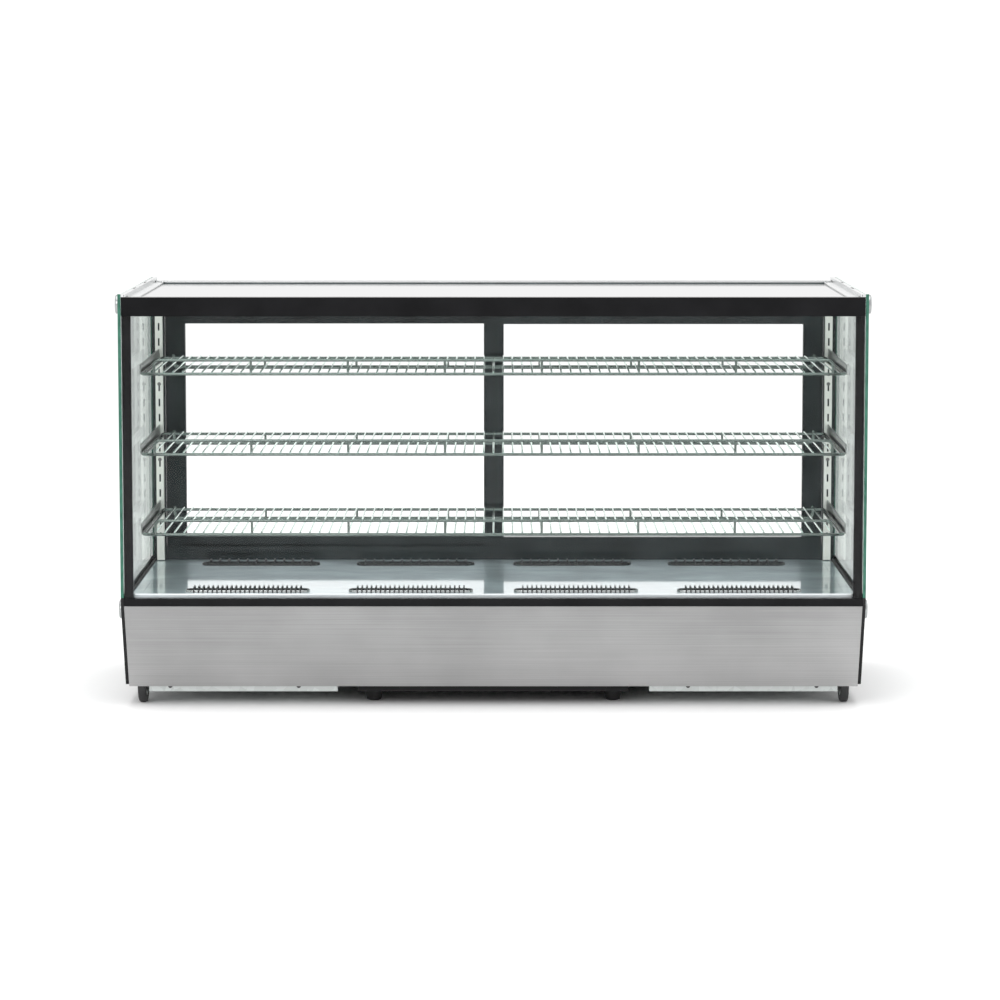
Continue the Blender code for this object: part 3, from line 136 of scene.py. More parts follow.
class CaseSizes(bpy.types.PropertyGroup):
    """Sizes of the new pieces."""
    frame_wire: length("Frame wire", 0.0050, "Diameter of a shelf's frame, guard and loop wire")
    cross_wire: length("Cross wire", 0.0030, "Diameter of a shelf's cross wires")
    wire_pitch: length("Wire pitch", 0.0161, "From one cross wire to the next")
    guard_high: length("Guard height", 0.0230, "Guard wire above the shelf's frame")
    loop_low: length("Loop depth", 0.0160, "Rear stiffening wire below the shelf's frame")
    loop_flat: bpy.props.FloatProperty(name="Loop flatness", default=1.4, min=1.0,
                                       description="Height of the rear loop over its wire")
    wire_bend: length("Wire bend", 0.0090, "Radius of the bends of the shelf wire")
    post_pitch: length("Post pitch", 0.1610, "From one guard post to the next")
    vent_long: length("Vent length", 0.2070, "Length of a vent collar")
    vent_wide: length("Vent width", 0.0300, "Width of a vent collar")
    vent_high: length("Vent height", 0.0060, "Vent collar above the deck")
    cap_radius: length("Cap radius", 0.0155, "Radius of a glass cap")
    cap_proud: length("Cap height", 0.0050, "Glass cap outside the side glass")
    camera_back: length("Camera distance", 6.0300, "Camera in front of the front glass")
    camera_high: length("Camera height", 1.0150, "Camera above the floor")
    camera_side: bpy.props.FloatProperty(name="Camera side", description="Camera right of the middle",
                                         default=0.011, unit="LENGTH", precision=4)
    camera_tilt: bpy.props.FloatProperty(name="Camera tilt", description="Camera below the horizon",
                                         default=math.radians(6.29), subtype="ANGLE")
    lens: bpy.props.FloatProperty(name="Lens", description="Focal length in millimetres", default=133.9,
                                  unit="CAMERA")


class CaseColours(bpy.types.PropertyGroup):
    """Colours of the finishes."""
    steel: colour("Satin steel", (0.357, 0.356, 0.356), "Front panel")
    mirror: colour("Polished steel", (0.74, 0.77, 0.77), "Deck")
    zinc: colour("Zinc sheet", (0.52, 0.55, 0.54), "Base trays and chassis")
    black: colour("Black enamel", (0.004, 0.004, 0.0045), "Front rail, trim and corner posts")
    frame_black: colour("Black frame", (0.017, 0.022, 0.023), "Rear frame and doors")
    aluminium: colour("Aluminium", (0.68, 0.69, 0.69), "Top channels and light housing")
    wire: colour("Chromed wire", (0.34, 0.41, 0.38), "Shelves")
    upright: colour("Upright paint", (0.90, 0.91, 0.86), "Pilasters")
    glass_tint: colour("Glass tint", (0.955, 0.985, 0.975), "Light through a glass face")
    glass_edge: colour("Glass edge", (0.030, 0.125, 0.085), "Cut edge of the glass")
    lamp: colour("Lamp", (0.80, 0.92, 1.0), "Light strip")
    floor: colour("Floor", (0.93, 0.93, 0.93), "Studio floor")


# ---- surfaces ------------------------------------------------------------------------------------
def grid_faces(rows, columns, wrap_rows=False, wrap_columns=True):
    """Quads between neighbouring points of a grid, stored row by row, going round where it wraps."""
    row, column = np.meshgrid(np.arange(rows if wrap_rows else rows - 1),
                              np.arange(columns if wrap_columns else columns - 1), indexing="ij")
    below, right = (row + 1) % rows, (column + 1) % columns
    upper, lower = row * columns, below * columns
    corners = (upper + column, upper + right, lower + right, lower + column)
    return np.stack(corners, -1).reshape(-1, 4).tolist()


def skin(rings, closed=False, capped=True):
    """Surface over rings of points, (rings, points, 3), each end shut by one flat face unless it wraps."""
    rows, columns = rings.shape[:2]
    faces = grid_faces(rows, columns, wrap_rows=closed)
    if capped and not closed:
        faces += [list(range(columns))[::-1], list(range((rows - 1) * columns, rows * columns))]
    return rings.reshape(-1, 3), faces


def circle(radius, sides, start=0.0):
    """Points (radius cos a, radius sin a) at equal angles a."""
    angle = start + np.linspace(0, 2 * math.pi, sides, endpoint=False)
    return radius * np.cos(angle), radius * np.sin(angle)


def tube(path, radius, normal, sides=10, closed=False):
    """Round wire: at each path point, centre + radius (cos a * side + sin a * lift), across the path."""
    path = np.asarray(path, float)
    ahead = np.roll(path, -1, 0) - np.roll(path, 1, 0) if closed else np.gradient(path, axis=0)
    ahead /= np.linalg.norm(ahead, axis=1, keepdims=True)
    side = np.cross(ahead, np.asarray(normal, float))
    side /= np.linalg.norm(side, axis=1, keepdims=True)
    lift = np.cross(side, ahead)
    across, up = circle(radius, sides)
    rings = path[:, None] + across[None, :, None] * side[:, None] + up[None, :, None] * lift[:, None]
    return skin(rings[:, ::-1], closed)


AXES = {"X": (1, 2, 0), "Y": (2, 0, 1), "Z": (0, 1, 2)}


def turned(profile, place, axis, sign=1, sides=32):
    """Lathe shape: each (radius, height) becomes a ring (radius cos a, radius sin a, height) on the axis."""
    radius, height = np.asarray(profile, float).T
    across, up = circle(1.0, sides)
    first, second, along = AXES[axis]
    rings = np.zeros((len(radius), sides, 3))
    rings[..., first] = radius[:, None] * across
    rings[..., second] = sign * radius[:, None] * up
    rings[..., along] = sign * height[:, None]
    return skin(rings + np.asarray(place, float))


def rounded(half_a, half_b, radius, steps=4):
    """Outline of a rounded rectangle about its middle: quarter circles about the four inner corners."""
    corner = np.repeat([0, 1, 2, 3], steps + 1)
    angle = (corner + np.tile(np.linspace(0, 1, steps + 1), 4)) * math.pi / 2
    sides_a = np.where((corner == 0) | (corner == 3), 1, -1)
    sides_b = np.where(corner < 2, 1, -1)
    return np.stack([sides_a * (half_a - radius) + radius * np.cos(angle),
                     sides_b * (half_b - radius) + radius * np.sin(angle)], -1)


def bar(outline, centre, axis, start, end, chamfer=0.0003):
    """Outline carried along an axis, its first and last ring drawn in by the chamfer."""
    outline = np.asarray(outline, float)
    first, second, along = AXES[axis]
    shrunk = outline * (1 - chamfer / np.abs(outline).max(0))
    stations = ((start, shrunk), (start + chamfer, outline), (end - chamfer, outline), (end, shrunk))
    rings = np.zeros((4, len(outline), 3))
    for ring, (height, shape) in zip(rings, stations):
        ring[:, first], ring[:, second] = (shape + centre).T
        ring[:, along] = height
    return skin(rings)


def obround(middle, centre, long, wide, steps=10):
    """Centre line of a slot with round ends and its outward directions, in plan."""
    end = np.repeat([1, -1], steps + 1)
    angle = np.tile(np.linspace(-0.5, 0.5, steps + 1), 2) * math.pi
    outward = np.stack([end * np.cos(angle), end * np.sin(angle)], -1)
    line = outward * wide / 2 + np.stack([end * (long - wide) / 2, 0 * angle], -1)
    return line + (middle, centre), outward


def rim(middle, centre, long, wide, profile):
    """Profile of (outward, height) points carried round a slot: line + outward * direction, then height."""
    line, outward = obround(middle, centre, long, wide)
    profile = np.asarray(profile, float)
    plan = line[:, None] + profile[None, :, :1] * outward[:, None]
    height = np.broadcast_to(profile[None, :, 1:], plan.shape[:2] + (1,))
    return skin(np.concatenate([plan, height], -1), closed=True)


def joined(shapes):
    """Several surfaces as one."""
    points, faces, offset = [], [], 0
    for these, polygons in shapes:
        points.append(these)
        faces += [[corner + offset for corner in polygon] for polygon in polygons]
        offset += len(these)
    return np.concatenate(points), faces


def linked(name, data):
    """An object for this data, in the scene's own collection."""
    made = bpy.data.objects.new(name, data)
    bpy.context.scene.collection.objects.link(made)
    return made


def piece(name, shapes, finish, body=CASE, smooth=40.0):
    """A mesh object of these surfaces, facing outwards, that rides on a body."""
    points, faces = joined(shapes)
    mesh = bpy.data.meshes.new(name)
    mesh.from_pydata(points.tolist(), [], faces)
    mesh.materials.append(finish)
    mesh.validate()
    outward(mesh)
    mesh.shade_smooth()
    mesh.set_sharp_from_angle(angle=math.radians(smooth))
    made = linked(name, mesh)
    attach(made, body)
    return made


def outward(mesh):
    """Turns the faces of every closed shell outwards."""
    shape = bmesh.new()
    shape.from_mesh(mesh)
    bmesh.ops.recalc_face_normals(shape, faces=shape.faces)
    shape.to_mesh(mesh)
    shape.free()


# ---- finishes ------------------------------------------------------------------------------------
class Recipe:
    """A material's node tree, with short ways to the patterns that the finishes share."""

    def __init__(self, name):
        self.material = bpy.data.materials.new(name)
        self.material.use_nodes = True
        self.tree = self.material.node_tree
        self.tree.nodes.clear()
        self.place = self.node("ShaderNodeTexCoord").outputs["Object"]

    def node(self, kind, sockets=None, **settings):
        """A node with its settings, and each named socket linked or set."""
        made = self.tree.nodes.new(kind)
        for key, value in settings.items():
            setattr(made, key, value)
        for key, value in (sockets or {}).items():
            if isinstance(value, bpy.types.NodeSocket):
                self.tree.links.new(value, made.inputs[key])
            else:
                made.inputs[key].default_value = value
        return made

    def noise(self, scale, stretch=(1, 1, 1), detail=4.0, rough=0.5):
        """Cloud pattern on the piece, stretched along its axes."""
        spread = self.node("ShaderNodeMapping", {"Vector": self.place, "Scale": stretch})
        return self.node("ShaderNodeTexNoise", {"Vector": spread.outputs[0], "Scale": scale, "Detail": detail,
                                                "Roughness": rough}).outputs["Fac"]

    def cells(self, scale, stretch=(1, 1, 1)):
        """Random shade per crystal cell."""
        spread = self.node("ShaderNodeMapping", {"Vector": self.place, "Scale": stretch})
        found = self.node("ShaderNodeTexVoronoi", {"Vector": spread.outputs[0], "Scale": scale})
        return self.node("ShaderNodeSeparateColor", {"Color": found.outputs["Color"]}).outputs[0]

    def axis(self, name):
        """One of the piece's own coordinates."""
        return self.node("ShaderNodeSeparateXYZ", {"Vector": self.place}).outputs[name]

    def maths(self, operation, first, second=0.0, third=0.0):
        """One sum on sockets or numbers."""
        return self.node("ShaderNodeMath", {0: first, 1: second, 2: third}, operation=operation).outputs[0]

    def between(self, factor, low, high):
        """A number from low to high as the pattern goes from 0.3 to 0.7."""
        return self.node("ShaderNodeMapRange", {"Value": factor, "From Min": 0.3, "From Max": 0.7,
                                                "To Min": low, "To Max": high}).outputs["Result"]

    def shades(self, factor, first, second):
        """A colour between two as the pattern goes from 0.3 to 0.7."""
        made = self.node("ShaderNodeValToRGB", {"Fac": factor})
        for stop, where, value in zip(made.color_ramp.elements, (0.3, 0.7), (first, second)):
            stop.position, stop.color = where, (*value, 1.0)
        return made.outputs["Color"]

    def bump(self, height, strength, distance, under=None):
        """Surface normal from a height pattern."""
        sockets = {"Height": height, "Strength": strength, "Distance": distance}
        if under is not None:
            sockets["Normal"] = under
        return self.node("ShaderNodeBump", sockets).outputs["Normal"]

    def surface(self, **sockets):
        """The main shader."""
        return self.node("ShaderNodeBsdfPrincipled",
                         {key.replace("_", " "): value for key, value in sockets.items()}).outputs["BSDF"]

    def mix(self, factor, first, second):
        """Two shaders mixed."""
        return self.node("ShaderNodeMixShader", {0: factor, 1: first, 2: second}).outputs[0]

    def done(self, shader):
        """Links the shader to the output and gives the material."""
        self.node("ShaderNodeOutputMaterial", {"Surface": shader})
        return self.material


def scaled(value, share):
    """A colour made lighter or darker."""
    return tuple(min(1.0, part * share) for part in value)


def brushed_metal(name, base, rough, grain, spread=0.05, painted_light_slope=0.0, top=0.0):
    """Metal with fine drawn lines along one axis and handling marks; given a slope, it has painted light,
    lighter below the top and darker above.
    """
    r = Recipe(name)
    lines = r.noise(1.0, grain, detail=3.0, rough=0.6)
    clouds = r.noise(5.0, detail=3.0)
    both = r.maths("MULTIPLY_ADD", clouds, 0.5, r.maths("MULTIPLY", lines, 0.5))
    # painted light: below the top height the shade grows lighter by the slope per metre, above it darker
    shade = r.maths("MULTIPLY_ADD", r.maths("SUBTRACT", top, r.axis("Z")), painted_light_slope, both) if painted_light_slope else both
    lightest = 1.41 if painted_light_slope else 1.06
    return r.done(r.surface(
        Base_Color=r.shades(shade, scaled(base, 0.93), scaled(base, lightest)), Metallic=1.0,
        Roughness=r.between(both, rough - spread, rough + spread), Normal=r.bump(lines, 0.25, 0.00002)))


def polished_metal(name, base, haze, wave=0.0004):
    """Mirror steel: a sharp reflection under a soft one whose bluish colour is a painted reflection of the
    light strip, over the gentle waves of rolled sheet.
    """
    r = Recipe(name)
    rolled_along = r.node("ShaderNodeCombineXYZ", {"X": 0.0, "Y": 1.0, "Z": 0.0}).outputs[0]
    waves = r.noise(5.0, (1.0, 0.3, 1.0), detail=1.0)
    ripples = r.noise(30.0, (1.0, 0.12, 1.0), detail=1.0)
    wipes = r.noise(9.0, (1.0, 2.0, 1.0), detail=5.0, rough=0.65)
    shape = r.bump(ripples, 0.25, wave * 0.5, r.bump(waves, 0.4, wave))
    sharp = r.surface(Base_Color=r.shades(wipes, scaled(base, 0.95), scaled(base, 1.08)), Metallic=1.0,
                      Roughness=r.between(wipes, 0.03, 0.07), Normal=shape)
    # painted reflection: the soft lobe's bluish colour stands for the light strip's glow mirrored in the deck
    soft = r.surface(Base_Color=r.shades(wipes, scaled(haze, 0.9), scaled(haze, 1.1)), Metallic=1.0,
                     Roughness=r.between(wipes, 0.34, 0.42), Anisotropic=0.8, Tangent=rolled_along,
                     Normal=shape)
    return r.done(r.mix(r.between(wipes, 0.42, 0.50), sharp, soft))


def spangled_metal(name, base, rough):
    """Galvanised sheet: crystal cells of slightly different shade and shine."""
    r = Recipe(name)
    crystals = r.cells(95.0)
    dull = r.noise(14.0, detail=4.0)
    both = r.maths("MULTIPLY_ADD", crystals, 0.45, r.maths("MULTIPLY", dull, 0.55))
    return r.done(r.surface(
        Base_Color=r.shades(both, scaled(base, 0.86), scaled(base, 1.08)), Metallic=1.0,
        Roughness=r.between(both, rough - 0.08, rough + 0.10), Normal=r.bump(crystals, 0.12, 0.00004)))


def painted(name, base, rough, peel=0.00003, dust_and_sheen=1.25, shine=0.5, grain=420.0):
    """Paint or powder coat: fine orange peel and a little dust and wear in the shade and shine; on the header
    the lighter flecks are a painted sheen as well.
    """
    r = Recipe(name)
    skin_grain = r.noise(grain, detail=2.0)
    wear = r.noise(11.0, detail=5.0, rough=0.6)
    # lighter flecks for dust and wear, on the header also a painted sheen
    return r.done(r.surface(
        Base_Color=r.shades(wear, scaled(base, 0.88), scaled(base, dust_and_sheen)),
        Roughness=r.between(wear, rough * 0.8, rough * 1.25), Specular_IOR_Level=shine,
        Normal=r.bump(skin_grain, 0.3, peel)))


def moulded(name, base, rough, grain=900.0):
    """Moulded rubber or plastic with a fine pitted grain."""
    r = Recipe(name)
    pits = r.cells(grain)
    wear = r.noise(24.0, detail=4.0)
    return r.done(r.surface(
        Base_Color=r.shades(wear, scaled(base, 0.8), scaled(base, 1.35)),
        Roughness=r.between(wear, rough - 0.08, rough + 0.08), Normal=r.bump(pits, 0.2, 0.00004)))


def heated_steel(name):
    """Sheathed heating rod with straw and blue heat tints along its length."""
    r = Recipe(name)
    tint = r.noise(8.0, (1.0, 3.0, 1.0), detail=3.0)
    scale = r.noise(160.0, detail=4.0)
    return r.done(r.surface(
        Base_Color=r.shades(tint, (0.20, 0.17, 0.14), (0.13, 0.14, 0.19)), Metallic=0.9,
        Roughness=r.between(scale, 0.32, 0.52), Normal=r.bump(scale, 0.2, 0.00003)))


def pane(r, tint, shine=1.0, glow=1.0):
    """Clear float glass: light passes with a faint tint, and more of it is mirrored at a flat angle."""
    smears = r.noise(6.0, (1.0, 1.0, 0.6), detail=4.0)
    through = r.node("ShaderNodeBsdfTransparent", {"Color": (*tint, 1.0)}).outputs[0]
    mirror = r.node("ShaderNodeBsdfGlossy", {"Color": (glow, glow, glow, 1.0),
                                             "Roughness": r.between(smears, 0.0, 0.03)}).outputs[0]
    fresnel = r.node("ShaderNodeFresnel", {"IOR": 1.45}).outputs[0]
    share = r.node("ShaderNodeMath", {0: fresnel, 1: shine}, operation="MULTIPLY", use_clamp=True).outputs[0]
    return r.mix(share, through, mirror)


def clear_glass(name, tint, shine, glow=1.0):
    """Glass pane."""
    r = Recipe(name)
    return r.done(pane(r, tint, shine, glow))


def side_glass(name, tint, edge, ink, ink_top):
    """Side pane: green cut edges, with a painted highlight where they face up, and black print from the deck
    down.
    """
    r = Recipe(name)
    geometry = r.node("ShaderNodeNewGeometry")
    facing = r.node("ShaderNodeSeparateXYZ", {"Vector": geometry.outputs["True Normal"]})
    is_edge = r.maths("LESS_THAN", r.maths("ABSOLUTE", facing.outputs["X"]), 0.5)
    grind = r.noise(300.0, (1.0, 1.0, 0.2), detail=3.0)
    cut = r.surface(Base_Color=r.shades(grind, scaled(edge, 0.75), scaled(edge, 1.35)),
                    Roughness=r.between(grind, 0.22, 0.38), Specular_IOR_Level=0.3)
    # painted highlight: the cut edges that face up are pale grey-green
    lit_cut = r.surface(Base_Color=r.shades(grind, (0.50, 0.56, 0.53), (0.62, 0.68, 0.65)),
                        Roughness=r.between(grind, 0.22, 0.38), Specular_IOR_Level=0.5)
    cut = r.mix(r.maths("GREATER_THAN", facing.outputs["Z"], 0.5), cut, lit_cut)
    print_wear = r.noise(18.0, detail=4.0)
    printed = r.surface(Base_Color=r.shades(print_wear, ink, scaled(ink, 1.5)),
                        Roughness=r.between(print_wear, 0.06, 0.14), Specular_IOR_Level=0.25)
    below = r.maths("LESS_THAN", r.axis("Z"), ink_top)
    return r.done(r.mix(below, r.mix(is_edge, pane(r, tint, 0.55), cut), printed))


def lit_lens(name, lamp, pitch, power):
    """Diffuser over a row of small lamps: brighter where a lamp sits behind it."""
    r = Recipe(name)
    wave = r.maths("COSINE", r.maths("MULTIPLY", r.axis("X"), 2 * math.pi / pitch))
    glow = r.maths("POWER", r.maths("MULTIPLY_ADD", wave, 0.5, 0.5), 3.0)
    haze = r.noise(60.0, detail=3.0)
    return r.done(r.surface(
        Base_Color=r.shades(haze, (0.80, 0.84, 0.86), (0.90, 0.94, 0.96)),
        Roughness=r.between(haze, 0.2, 0.3), Emission_Color=(*lamp, 1.0),
        Emission_Strength=r.maths("MULTIPLY_ADD", glow, power, power * 0.15)))


def lamp_dot(name, tint, power):
    """Small coloured indicator lens, lit from inside."""
    r = Recipe(name)
    facets = r.cells(1500.0)
    return r.done(r.surface(
        Base_Color=r.shades(facets, scaled(tint, 0.7), tint), Roughness=r.between(facets, 0.15, 0.25),
        Emission_Color=(*tint, 1.0), Emission_Strength=power, Normal=r.bump(facets, 0.2, 0.0001)))


def studio_floor(name, base):
    """Seamless pale paper sweep."""
    r = Recipe(name)
    fibre = r.noise(60.0, detail=4.0)
    return r.done(r.surface(Base_Color=r.shades(fibre, scaled(base, 0.995), base),
                            Roughness=r.between(fibre, 0.85, 0.95), Specular_IOR_Level=0.0))


FINISHES = {}


def make_finishes(colours):
    """Every finish, by name, made once."""
    if FINISHES:
        return
    c = {key: tuple(getattr(colours, key)) for key in colours.__annotations__}
    across, along = (3.0, 900.0, 900.0), (900.0, 3.0, 900.0)
    wire_grain, screw_grain = (160.0,) * 3, (500.0,) * 3
    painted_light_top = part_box("front_panel")[1].z - 0.091       # painted light: the panel is lighter below this height, darker above
    print_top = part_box("front_trim")[1].z + 0.001
    FINISHES.update({
        "satin": brushed_metal("satin_stainless", c["steel"], 0.42, across, painted_light_slope=2.2, top=painted_light_top),
        # painted reflection: the bluish second colour of the deck's soft reflection stands for the light
        # strip's glow
        "mirror": polished_metal("polished_stainless", scaled(c["mirror"], 1.35), (0.60, 0.70, 0.74)),
        # painted shade: the caps take the polished steel colour at half, for the darker surroundings mirrored
        # in them
        "cap": brushed_metal("polished_cap", scaled(c["mirror"], 0.5), 0.24, (400.0,) * 3),
        "zinc": spangled_metal("galvanised_sheet", c["zinc"], 0.38),
        "chassis": spangled_metal("galvanised_chassis", scaled(c["zinc"], 0.8), 0.42),
        "gloss": painted("black_gloss_enamel", c["black"], 0.13, dust_and_sheen=2.2, shine=0.11),
        "frame": painted("black_door_frame", c["frame_black"], 0.10, peel=0.000012, dust_and_sheen=2.0, shine=0.22),
        # painted sheen: the header is the black frame colour made 2.6 times lighter, with lighter flecks, for
        # the light strip's reflection in it
        "header": painted("black_header", scaled(c["frame_black"], 2.6), 0.10, peel=0.00002, dust_and_sheen=1.9,
                          shine=0.9),
        "coat": painted("black_powder_coat", scaled(c["black"], 1.3), 0.45, peel=0.00008, shine=0.2),
        "panel": painted("black_side_sheet", c["black"], 0.3, shine=0.25),
        "aluminium": brushed_metal("anodised_aluminium", c["aluminium"], 0.30, along),
        "aluminium_wide": brushed_metal("anodised_aluminium_rail", c["aluminium"], 0.26, across),
        # painted light: one chromed wire colour in a shaded and a lit copy, darker for the frame wires as
        # painted shade and twice as light for the cross wires as a painted highlight
        "wire": brushed_metal("chromed_frame_wire", scaled(c["wire"], 0.45), 0.2, wire_grain, 0.06),
        "cross_wire": brushed_metal("chromed_cross_wire", scaled(c["wire"], 2.0), 0.2, wire_grain, 0.06),
        "bracket": brushed_metal("dark_zinc_plate", (0.30, 0.32, 0.31), 0.32, along),
        "upright": painted("cream_upright_paint", c["upright"], 0.38, dust_and_sheen=1.05, grain=700.0),
        "vent": painted("grey_vent_coat", (0.020, 0.023, 0.024), 0.30, peel=0.00006),
        # painted shade: the near-black sheet inside each vent
        "vent_shade": moulded("vent_mesh", (0.010, 0.011, 0.012), 0.5, grain=1600.0),
        "rim": brushed_metal("vent_rim_steel", scaled(c["mirror"], 0.55), 0.25, across),
        "rubber": moulded("foot_rubber", (0.012, 0.012, 0.012), 0.62),
        "tyre": moulded("tyre_rubber", (0.016, 0.016, 0.017), 0.5, grain=600.0),
        "plastic": moulded("black_plastic", (0.018, 0.018, 0.019), 0.38),
        "white_mark": painted("white_mark", (0.8, 0.8, 0.78), 0.5, dust_and_sheen=1.1),
        "heater": heated_steel("heater_sheath"),
        "screw": brushed_metal("screw_steel", (0.55, 0.55, 0.54), 0.28, screw_grain),
        "dull_screw": brushed_metal("dull_screw", (0.17, 0.17, 0.165), 0.35, screw_grain),
        # the blackened screw finish also darkens the slot strips of the top channels, as painted shade
        "dark_screw_and_slot_shade": brushed_metal("blackened_screw", (0.06, 0.06, 0.06), 0.4, screw_grain),
        "front_pane": clear_glass("front_pane", scaled(c["glass_tint"], 1.06), 0.15),
        "top_pane": clear_glass("top_pane", c["glass_tint"], 2.4, 0.78),
        "door_pane": clear_glass("door_pane", scaled(c["glass_tint"], 1.06), 0.5),
        "side_pane": side_glass("side_pane", scaled(c["glass_tint"], 0.975), c["glass_edge"], c["black"],
                                print_top),
        "lens": lit_lens("light_diffuser", c["lamp"], LAMP_PITCH, 6.0),
        "amber": lamp_dot("amber_lamp", (0.95, 0.42, 0.05), 0.6),
        "floor": studio_floor("studio_floor", c["floor"]),
    })


CAD_FINISHES = {
    "satin": ("front_panel",),
    "mirror": ("deck",),
    "zinc": ("left_base_tray", "right_base_tray", "heater_stand"),
    "chassis": ("chassis",),
    "gloss": ("front_rail", "front_trim", "left_corner_post", "right_corner_post"),
    "header": ("rear_header",),
    "frame": ("rear_sill", "left_rear_post", "right_rear_post", "left_door_frame", "right_door_frame"),
    "coat": ("rear_panel", "centre_base_plate", "control_box"),
    "panel": ("left_base_side", "right_base_side"),
    "aluminium": ("left_top_channel", "right_top_channel"),
    "aluminium_wide": ("light_housing", "rear_top_trim"),
    "wire": SHELVES,
    "bracket": tuple(f"{level}_{label}_bracket" for level in LEVELS for label, _ in SIDES),
    "upright": ("left_pilaster", "right_pilaster"),
    "vent": ("front_air_grille", "rear_air_grille"),
    "rubber": FEET,
    "tyre": WHEELS,
    "plastic": ("fan_housing", "fan_rotor", "power_switch", "light_switch", "thermostat_knob", "cord_gland"),
    "heater": ("heating_element",),
    "front_pane": ("front_glass",),
    "top_pane": ("top_glass",),
    "door_pane": ("left_door_glass", "right_door_glass"),
    "side_pane": ("left_side_glass", "right_side_glass"),
    "lens": ("light_lens",),
}


# ---- the pieces ----------------------------------------------------------------------------------
class CASE_OT_stage(bpy.types.Operator):
    """Pale floor, soft white light and the camera"""
    bl_idname = "display_case.stage"
    bl_label = "Studio stage"

    def execute(self, context):
        sizes = context.scene.case_sizes
        make_finishes(context.scene.case_colours)
        step = np.linspace(-FLOOR_HALF, FLOOR_HALF, FLOOR_LINES)
        x, y = np.meshgrid(step, step, indexing="ij")
        mesh = bpy.data.meshes.new("studio_floor")
        mesh.from_pydata(np.stack([x, y, 0 * x], -1).reshape(-1, 3).tolist(), [],
                         [face[::-1] for face in grid_faces(FLOOR_LINES, FLOOR_LINES, wrap_columns=False)])
        mesh.materials.append(FINISHES["floor"])
        outward(mesh)
        linked("studio_floor", mesh)
        world = bpy.data.worlds.new("studio")
        world.use_nodes = True
        sky = world.node_tree.nodes["Background"].inputs
        sky["Color"].default_value, sky["Strength"].default_value = (1.0, 1.0, 1.0, 1.0), SKY_POWER
        context.scene.world = world
        for name, place, turn, size, power in SOFTBOXES:
            light = bpy.data.lights.new(name, "AREA")
            light.shape, light.size, light.energy = "SQUARE", size, power
            softbox = linked(name, light)
            softbox.location, softbox.rotation_euler = place, [math.radians(angle) for angle in turn]
        optics = bpy.data.cameras.new("camera")
        optics.sensor_width, optics.lens, optics.clip_end = 36.0, sizes.lens, 200.0
        camera = linked("camera", optics)
        camera.location = (sizes.camera_side, FRONT - sizes.camera_back, sizes.camera_high)
        camera.rotation_euler = (math.pi / 2 - sizes.camera_tilt, 0.0, 0.0)
        context.scene.camera = camera
        context.scene.view_settings.view_transform = "Standard"
        return {"FINISHED"}


class CASE_OT_finishes(bpy.types.Operator):
    """Finishes of every sheet, pane and moulding of the frame"""
    bl_idname = "display_case.finishes"
    bl_label = "Frame finishes"

    def execute(self, context):
        make_finishes(context.scene.case_colours)
        for finish, nodes in CAD_FINISHES.items():
            for node in nodes:
                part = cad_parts[node]
                for place in part.material_slots:
                    place.material = FINISHES[finish]
        bare = set(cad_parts) - {node for nodes in CAD_FINISHES.values() for node in nodes}
        if bare:
            raise RuntimeError(f"nodes with no finish: {sorted(bare)}")
        return {"FINISHED"}


def bent_run(ends, level, high, bend, steps=6):
    """Path of a wire that rises from the frame at each end and runs level between two quarter bends."""
    left, right = ends
    side = 1 if high > level else -1
    angle = np.linspace(0, math.pi / 2, steps)
    up_x, up_z = left + bend * (1 - np.cos(angle)), high - side * bend * (1 - np.sin(angle))
    x = np.concatenate([[left], up_x, (left + right - up_x)[::-1], [right]])
    z = np.concatenate([[level], up_z, up_z[::-1], [level]])
    return x, z


def wire_shelf(node, sizes):
    """Frame loop, cross wires, front guard and rear loop of one shelf, as round wires."""
    low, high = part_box(node)
    thick, thin = sizes.frame_wire / 2, sizes.cross_wire / 2
    level = low.z + sizes.loop_low + thick
    half, near, far = high.x - thick, low.y + thick, high.y - thick
    outline = rounded(half, (far - near) / 2, sizes.wire_bend, 6) + (0, (near + far) / 2)
    loop = np.concatenate([outline, np.full((len(outline), 1), level)], 1)
    frame_wires = [tube(loop, thick, (0, 0, 1), 12, closed=True)]
    count = int((half - 2 * thick) / sizes.wire_pitch)
    top = level + thick + thin - WELD
    # each cross wire ends just past the frame wires, turned down a little
    y = np.array([near - thick * 0.6, near, far, far + thick * 0.6])
    z = np.array([top - thin * 0.7, top, top, top - thin * 0.7])
    cross_wires = []
    for number in range(-count, count + 1):
        wire = np.stack([np.full(4, number * sizes.wire_pitch), y, z], -1)
        cross_wires.append(tube(wire, thin, (1, 0, 0), 8))
    posts = (np.arange(GUARD_POSTS) - (GUARD_POSTS - 1) / 2) * sizes.post_pitch
    for across, end in ((near, level + sizes.guard_high), (far, level - sizes.loop_low)):
        x, rise = bent_run((posts[0], posts[-1]), level, end, sizes.wire_bend)
        run = tube(np.stack([x, np.full(len(x), across), rise], -1), thick * 0.96, (0, 1, 0), 12)
        if across == far:
            run = (run[0] * (1, 1, sizes.loop_flat) + (0, 0, (1 - sizes.loop_flat) * end), run[1])
        frame_wires.append(run)
        for place in posts[1:-1]:
            heights = np.array([level, (level + end) / 2, end])
            wire = np.stack([np.full(3, place), np.full(3, across), heights], -1)
            frame_wires.append(tube(wire, thick * 0.8, (0, 1, 0), 10))
    return frame_wires, cross_wires


class CASE_OT_wire_shelves(bpy.types.Operator):
    """Round wire shelves with front guard and rear stiffening loop"""
    bl_idname = "display_case.wire_shelves"
    bl_label = "Wire shelves"

    def execute(self, context):
        for node in SHELVES:
            frame_wires, cross_wires = wire_shelf(node, context.scene.case_sizes)
            made = piece(node + "_frame", frame_wires, FINISHES["wire"], node, 60.0)
            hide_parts(node)
            piece(node + "_cross_wires", cross_wires, FINISHES["cross_wire"], node, 60.0)
        return {"FINISHED"}


